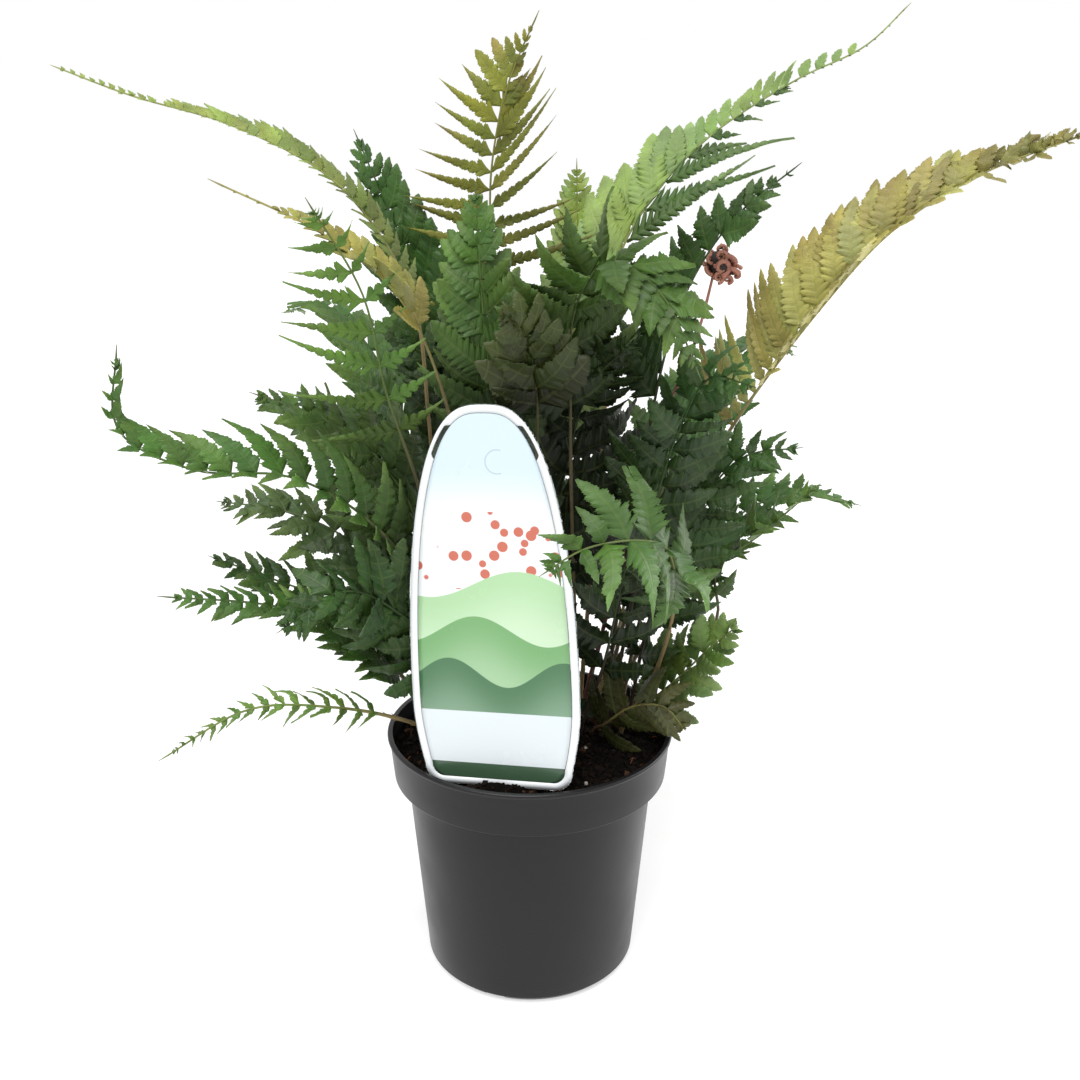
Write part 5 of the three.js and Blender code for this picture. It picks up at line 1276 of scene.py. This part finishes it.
# Furled young frond: a thick bare stem that ends in a knot of small spirals.
furled = {
    "path": [(31, 20, 139), (38, 17, 175), (48, 12, 221), (64, 5, 266), (71, 0, 300)],
    "face": (0, -1, 0.5), "ripple": (0.05, 91), "paleFrom": 0.6, "seed": 404,
    "stemEnd": 0.985, "thicker": 1.12, "stemSides": 12, "stemRings": 120, "stem": (112, 72, 64),
    "scales": 120, "scalyShare": 0.8, "hairs": 46, "hairLength": (0.5, 1.5), "hairHalf": 0.18,
    # gapShade: painted shade, the colour of a near-black ball inside the knot that darkens the gaps between
    # the spirals
    "head": (188, 126, 110), "bud": (160, 118, 86), "gapShade": (34, 20, 18), "gapShadeSize": (5.4, 4.2, 5.6),
    # each spiral's place on the end of the stem, its turn in degrees and its size
    "spirals": [
        (0.6, -3.6, 0.2, 10, 0.8), (-3.8, -2.4, -1.6, 50, 0.72), (4.6, -2.2, -1.4, -45, 0.78),
        (-3.4, -2.0, 2.6, 30, 0.66), (3.4, -2.4, 2.8, -30, 0.7), (0.2, -3.2, 4.2, 4, 0.6),
        (0.6, 0.4, 6.2, 8, 0.6), (-5.2, 0.8, 0.8, 75, 0.6), (6.0, 0.8, 0.6, -70, 0.62),
        (-0.6, -3.4, -3.4, 20, 0.56), (3.0, -2.6, -4.2, -20, 0.5), (-2.6, 2.6, 4.4, 60, 0.6),
        (3.2, 3.0, 3.6, -60, 0.64), (0.2, 4.4, 0.4, 90, 0.8),
    ],
    "spiralRadius": 4.1, "spiralTube": 1.25, "spiralTurns": 1.7, "splay": 0.2, "sink": (1.2, 0, -1.4),
    "spiralSteps": 84, "windTo": 0.16, "thinTo": 0.42, "endFrom": 0.97, "gapShadePlace": (0.4, 0, 0.6),
    "spiralRise": 0.5, "spiralSides": 12, "lobes": (0.16, 46), "bluntBy": 0.8,
    "hairFoot": 0.8, "hairTwist": 0.9, "hairBack": 0.2, "hairTone": 0.8,
}


# One spiral: its radius shrinks as it winds in, and so does its tube, which is ringed by small lobes.
def addSpiral(pile, centre, x, turn, size):
    t = np.linspace(0, 1, furled["spiralSteps"])
    angle = -0.5 * math.pi + t * furled["spiralTurns"] * 2 * math.pi
    reach = furled["spiralRadius"] * size * mix(1, furled["windTo"], t ** 0.8)
    flatX, flatZ = reach * np.cos(angle), reach * np.sin(angle)
    flatY = furled["spiralRise"] * (t - 0.5) * size
    leanY, leanZ = turned(flatY, flatZ, furled["splay"] * x)
    path = np.stack([*turned(flatX, leanY, math.radians(turn)), leanZ], -1) + centre
    right, up = pathSides(path)
    depth, often = furled["lobes"]
    lobes = 1 + depth * np.abs(np.sin(t * often * size)) - depth / 2
    start = furled["endFrom"]
    blunt = 1 - furled["bluntBy"] * np.maximum(0, t - start) / (1 - start)
    radius = furled["spiralTube"] * size * mix(1, furled["thinTo"], t) * lobes * blunt
    tone = mix(colour(*furled["head"]), colour(*furled["bud"]), t[:, None] ** 1.5)
    addTube(pile, path, right, up, radius, furled["spiralSides"], tone)
    return path, radius


def makeFurled():
    name = "frond_furled"
    frames, length, _ = makeRib(name, furled["path"], 1.0, furled["face"])
    s = np.linspace(0, furled["stemEnd"], furled["stemRings"])
    at, _, right, up = frames(s)
    pile = newPile()
    stem, top = colour(*furled["stem"]), colour(*furled["head"])
    ripple, often = furled["ripple"]
    radius = ribHalf(s) * furled["thicker"] * (1 + ripple * np.sin(s * often))
    start = furled["paleFrom"]
    tone = mix(stem, top, ease((s[:, None] - start) / (1 - start)))
    addTube(pile, at, right, up, radius, furled["stemSides"], tone)
    end = at[-1] + furled["sink"]
    # painted shade: a near-black ball in the knot, seen through the gaps between the spirals as their shade
    ball, faces = roundShape(9, 14)
    ball = ball * furled["gapShadeSize"] + end + furled["gapShadePlace"]
    addSurface(pile, ball, [faces], (0, 0), colour(*furled["gapShade"]))
    rng = np.random.default_rng(furled["seed"])
    for x, y, z, turn, size in furled["spirals"]:
        path, radius = addSpiral(pile, end + (x, y, z), x, turn, size)
        pick = rng.integers(0, len(path) - 1, furled["hairs"])
        away = unit(rng.normal(size=(len(pick), 3)))
        foot = path[pick] + away * (radius[pick] * furled["hairFoot"])[:, None]
        side = unit(np.cross(away, rng.normal(size=(len(pick), 3))))
        grow = unit(away + furled["hairTwist"] * np.cross(side, away))
        grow = grow * rng.uniform(*furled["hairLength"], (len(pick), 1))
        side, back = side * furled["hairHalf"], away * furled["hairBack"]
        addSpikes(pile, foot, side, back, foot + grow, colour(*furled["bud"]) * furled["hairTone"])
    addScales(pile, frames, length, stem, 35, furled["scales"], length * furled["scalyShare"])
    makePiece(pile, "furledFrond", [makeStemMaterial()], slots[name], [name])


makeFurled()
print("stage: furled frond")

rootstock = {
    "radius": 6.5, "top": 106, "bottom": 76, "rings": 40, "sides": 36, "foot": 0.3, "bud": 0.7,
    "scales": 240, "scaleLength": (2.0, 4.2), "scaleHalf": 0.9, "scalesOn": (0.45, 0.97), "pastTop": 1.5,
    "centres": {"left": (-29, 3), "centre": (0, 2), "right": (29, 12)},
    "colour": (58, 38, 26), "scale": (112, 74, 46), "scaleTone": (0.5, 1.1), "scaleThick": 0.5,
    "footShare": 0.3, "budShare": 0.97, "rough": (0.09, 3.0, 0.05),  # height, width and depth of hills
    "scaleFoot": 0.9, "scaleSink": 1.5, "scaleIn": 0.6, "scaleLean": (0.6, 2.2, 0.4), "seed": 60,
}


# Upright body: radius = full radius * round foot * round bud, roughened by one size of hills, with
# papery scales that overlap upwards round it.
def makeRootstock(place, centre, seed, materials):
    t = np.linspace(0, 1, rootstock["rings"])
    z = mix(rootstock["bottom"], rootstock["top"], t)
    foot, bud = rootstock["foot"], rootstock["bud"]
    roundFoot = np.sqrt(mix(rootstock["footShare"], 1, ease(t / foot)))
    roundBud = np.sqrt(1.001 - rootstock["budShare"] * ease((t - bud) / (1 - bud)))
    profile = rootstock["radius"] * roundFoot * roundBud
    angle = ringAngles(rootstock["sides"])
    wrap = np.minimum(angle, 2 * np.pi - angle)
    height, width, depth = rootstock["rough"]
    rough = 1 + height * hills(wrap[None] * 6, z[:, None], width, seed) - depth
    radius = profile[:, None] * np.minimum(rough, 1)
    points = np.stack([radius * np.cos(angle) + centre[0], radius * np.sin(angle) + centre[1],
                       z[:, None] + 0 * radius], -1)
    pile = newPile()
    tone = colour(*rootstock["colour"])
    addSurface(pile, points[::-1], tubeFaces(len(t), rootstock["sides"]), (0, 0), tone)
    rng = np.random.default_rng(seed)
    count = rootstock["scales"]
    high, turn = rng.uniform(*rootstock["scalesOn"], count), rng.uniform(0, 2 * np.pi, count)
    out = np.stack([np.cos(turn), np.sin(turn), np.zeros(count)], -1)
    side = np.cross([0, 0, 1.0], out)
    foot = out * (np.interp(high, t, profile) * rootstock["scaleFoot"])[:, None] + (*centre, 0)
    foot[:, 2] = np.interp(high, t, z) - rootstock["scaleSink"]
    size = rng.uniform(*rootstock["scaleLength"], count)[:, None]
    start = rootstock["scaleIn"]
    inward = ease((high - start) / (1 - start))[:, None]
    low, turnIn, lean = rootstock["scaleLean"]
    tip = foot + np.array([0, 0, 1.0]) * size + out * (low - turnIn * inward) * size * lean
    tip[:, 2] = np.minimum(tip[:, 2], rootstock["top"] + rootstock["pastTop"])
    tones = colour(*rootstock["scale"]) * rng.uniform(*rootstock["scaleTone"], (count, 1))
    side, back = side * rootstock["scaleHalf"], out * rootstock["scaleThick"]
    addSpikes(pile, foot, side, back, tip, tones)
    makePiece(pile, "rootstock" + place, materials, "rootstock", ["rootstock_" + place], smooth=False)


rootLook = [makeToned("rootstockScales", 0.85, 260.0, 0.5)]
for number, (place, centre) in enumerate(rootstock["centres"].items()):
    makeRootstock(place, centre, rootstock["seed"] + number, rootLook)
print("stage: rootstocks")

label = {
    "halfWidth": 33, "footHalfWidth": 27.7, "widestAt": 36, "height": 149.5, "archPower": 2.1,
    "archRoot": 2.8, "cornerRadius": 8, "thickness": 0.8, "stakeHalfWidth": 7, "stakeLength": 35,
    "stakePoint": 16, "foot": (-11.6, -45, 101.8), "yaw": -12.6, "roll": -2.3, "lean": -2.2,
    "frame": (0.25, 3.1),  # milky rim, from and to these distances from the edge
    "glint": (129, 142, 1.5),  # from and to where the rim is narrow on each shoulder, and how wide it is
    "band": 3.3,  # clear edge round the printed panel
    "proud": 0.03,  # how far the print stands out of the plate
    "slit": (4.5, 128.5, 4.4),  # hang slit: a half circle's middle and radius
    "columns": 25, "sideRows": 60, "rimRows": 90, "rimSteps": 160, "cornerSteps": 12, "rowsUp": 2.2,
    "white": (236, 240, 242), "sky": (205, 222, 232), "strip": (212, 220, 224), "dark": (62, 88, 66),
    "hills": ((168, 205, 158), (112, 163, 104), (66, 112, 74)), "hillTops": (82, 64, 47),
    "hillHeight": 5.5, "hillLength": (0.09, 0.025), "hillShift": (0.6, 1.7),  # first and step
    "berry": (196, 104, 84), "berriesAt": (80, 110), "berryCells": 0.16, "berrySize": (0.35, 0.3),
    "stripTop": 31, "darkTop": 9.5, "skyFrom": (103, 128), "slitColour": (0.3, 0.36, 0.4),
    "slitLine": (0.16, 0.34), "slitShare": 0.45, "slitSpan": 0.35,  # its line, strength and right end
    "hillEdge": 0.15, "hillFade": 26.0, "hillPaler": 0.3, "grain": (30.0, 3.0), "gloss": (0.16, 0.3),
    "bump": (0.25, 0.0006), "clear": (0.96, 0.98, 0.98), "stakeTip": 0.05, "overlap": 0.02,
}


def labelHalfWidth(v):
    rise = np.sin(np.minimum(v / label["widestAt"], 1) * np.pi / 2)
    low = mix(label["footHalfWidth"], label["halfWidth"], rise)
    q = np.clip((v - label["widestAt"]) / (label["height"] - label["widestAt"]), 0, 1)
    return low * (1 - q ** label["archPower"]) ** (1 / label["archRoot"])


# From the plate's own place (u across, v up, n towards the viewer) to the plant.
def standLabel(u, v, n):
    roll, lean, yaw = (math.radians(label[key]) for key in ("roll", "lean", "yaw"))
    z, x = turned(v, u, roll)
    y, z = turned(-n, z, lean)
    x, y = turned(x, y, yaw)
    return np.stack([x, y, z], -1) + label["foot"]


# Right half of an outline inset from the plate's edge, from its foot up to its top.
def labelSide(inset, count):
    r = max(0.5, label["cornerRadius"] - inset)
    a = np.linspace(0, np.pi / 2, label["cornerSteps"])
    half = float(labelHalfWidth(np.array(label["cornerRadius"]))) - inset
    corner = np.stack([half - r + r * np.sin(a), inset + r - r * np.cos(a)], -1)
    up = 1 - (1 - np.linspace(0, 1, count)) ** label["rowsUp"]
    v = mix(label["cornerRadius"], label["height"], up)
    edge = np.stack([labelHalfWidth(v), v], -1)
    slope = np.gradient(edge, axis=0)
    away = unit(np.stack([slope[:, 1], -slope[:, 0]], -1))
    away[-1] = (0, 1)
    edge = edge - away * inset
    edge[-1, 0] = 0
    edge = edge[(edge[:, 1] > corner[-1, 1] + 0.3) & (edge[:, 0] >= 0)]
    return np.concatenate([corner, edge])


# A flat layer of the label from a grid of its own places, between two distances from its middle.
def addLayer(pile, u, v, front, back, slot):
    points = np.stack([standLabel(u, v, n + 0 * u) for n in (front, back)])
    uv = np.stack([u, v], -1)
    addSurface(pile, points, sheetFaces(*u.shape), np.stack([uv, uv]).reshape(-1, 2), (1, 1, 1), slot)


def addPlate(pile, side, front, back, slot=0):  # side: its right edge, from the foot to the top
    u = side[:, :1] * np.linspace(1, -1, label["columns"])
    addLayer(pile, u, side[:, 1:] + 0 * u, front, back, slot)


# A rim on the plate between two insets of its outline, carried all the way round. On each shoulder its
# inner edge steps out, so that the clear plastic shows there.
def addRim(pile, outer, inner, front, back, slot):
    low, high, narrow = label["glint"]
    share = np.linspace(0, 1, label["rimSteps"])
    sides = []
    for inset in (outer, inner, narrow):
        side = np.concatenate([[(0, inset)], labelSide(inset, label["rimRows"])])
        own = np.linspace(0, 1, len(side))
        sides.append(np.stack([np.interp(share, own, values) for values in side.T], -1))
    step = ease((sides[1][:, 1:] - low) / 1.5) * ease((high - sides[1][:, 1:]) / 1.5)
    sides = [sides[0], mix(sides[1], sides[2], step)]
    loops = [np.concatenate([side, side[-2::-1] * (-1, 1)]) for side in sides]
    u, v = (np.stack([loop[:, k] for loop in loops], 1) for k in (0, 1))
    addLayer(pile, u, v, front, back, slot)


def makeLabel():
    half, width, low = label["thickness"] / 2, label["stakeHalfWidth"], -label["stakeLength"]
    pile = newPile()
    point = (label["stakeTip"], low)
    stake = np.array([point, (width, low + label["stakePoint"]), (width, -label["overlap"])])
    addPlate(pile, np.concatenate([stake, labelSide(0, label["sideRows"])]), half, -half)
    panel = labelSide(label["band"], label["sideRows"])
    for front, back in ((half + label["proud"], half), (-half, -half - label["proud"])):
        addPlate(pile, panel, front, back, 1)
        addRim(pile, *label["frame"], front, back, 2)
    clear, _, _ = newMaterial("clearLabel", **{
        "Base Color": label["clear"], "Roughness": 0.06, "IOR": 1.3, "Transmission Weight": 1.0})
    line, tree, sockets = newMaterial("labelLine", Roughness=0.3)
    shade = useGroup(tree, mottle, Color=colour(*label["white"]), Scale=40.0, Depth=0.05)
    feed(tree, sockets["Base Color"], shade["Color"])
    makePiece(pile, "plantLabel", [clear, makePrint(), line], "label", ["label"])


# The printed panel: a pale sky, three rows of rolling green hills with loose round berries above them,
# a pale strip and a dark foot. Its pattern place is in millimetres across and up the plate.
def makePrint():
    material, tree, sockets = newMaterial("labelPrint", Roughness=0.22, **{"Coat Weight": 0.25})
    place = patternPlace(tree)
    across, up, _ = feedAll(tree, node(tree, "SeparateXYZ"), Vector=place)

    def above(edge, soft):  # 1 below a height up the plate, 0 above it
        return span(tree, calc(tree, "SUBTRACT", edge, up), -soft, soft)

    def under(height):
        return calc(tree, "LESS_THAN", up, height)

    paint = blend(tree, span(tree, up, *label["skyFrom"]), colour(*label["white"]), colour(*label["sky"]))
    cells = feedAll(tree, node(tree, "TexVoronoi"), Vector=stretched(tree, place, (1, 1, 0)),
                    Scale=label["berryCells"])
    low, high = label["berriesAt"]
    large, small = label["berrySize"]
    inBand = times(tree, calc(tree, "GREATER_THAN", up, low), under(high))
    berries = times(tree, inBand, span(tree, cells["Distance"], small, large, 1.0, 0.0))
    paint = blend(tree, berries, paint, colour(*label["berry"]))
    (wave, waveStep), (shift, shiftStep) = label["hillLength"], label["hillShift"]
    for number, (top, tint) in enumerate(zip(label["hillTops"], label["hills"])):
        angle = calc(tree, "MULTIPLY_ADD", across, wave + waveStep * number, shift + shiftStep * number)
        edge = calc(tree, "MULTIPLY_ADD", calc(tree, "SINE", angle), label["hillHeight"], top)
        depth = span(tree, calc(tree, "SUBTRACT", edge, up), 0.0, label["hillFade"])
        paler = mix(np.array(tint), 255, label["hillPaler"])
        hill = blend(tree, depth, colour(*tint), colour(*paler))
        paint = blend(tree, above(edge, label["hillEdge"]), paint, hill)
    paint = blend(tree, under(label["stripTop"]), paint, colour(*label["strip"]))
    paint = blend(tree, under(label["darkTop"]), paint, colour(*label["dark"]))
    x, y, radius = label["slit"]
    fromMiddle = node(tree, "VectorMath", operation="DISTANCE")
    feed(tree, fromMiddle.inputs[0], place)
    feed(tree, fromMiddle.inputs[1], (x, y, 0))
    offLine = calc(tree, "ABSOLUTE", calc(tree, "SUBTRACT", fromMiddle.outputs["Value"], radius))
    leftPart = calc(tree, "LESS_THAN", across, x + label["slitSpan"] * radius)
    slit = times(tree, span(tree, offLine, *label["slitLine"], 1.0, 0.0), leftPart)
    share = times(tree, slit, label["slitShare"])
    feed(tree, sockets["Base Color"], blend(tree, share, paint, label["slitColour"]))
    gloss = grain(tree, objectPlace(tree), *label["grain"])
    feed(tree, sockets["Roughness"], span(tree, gloss, 0.3, 0.7, *label["gloss"]))
    feed(tree, sockets["Normal"], bump(tree, calc(tree, "SUBTRACT", gloss, slit), *label["bump"]))
    return material


makeLabel()
print("stage: label")
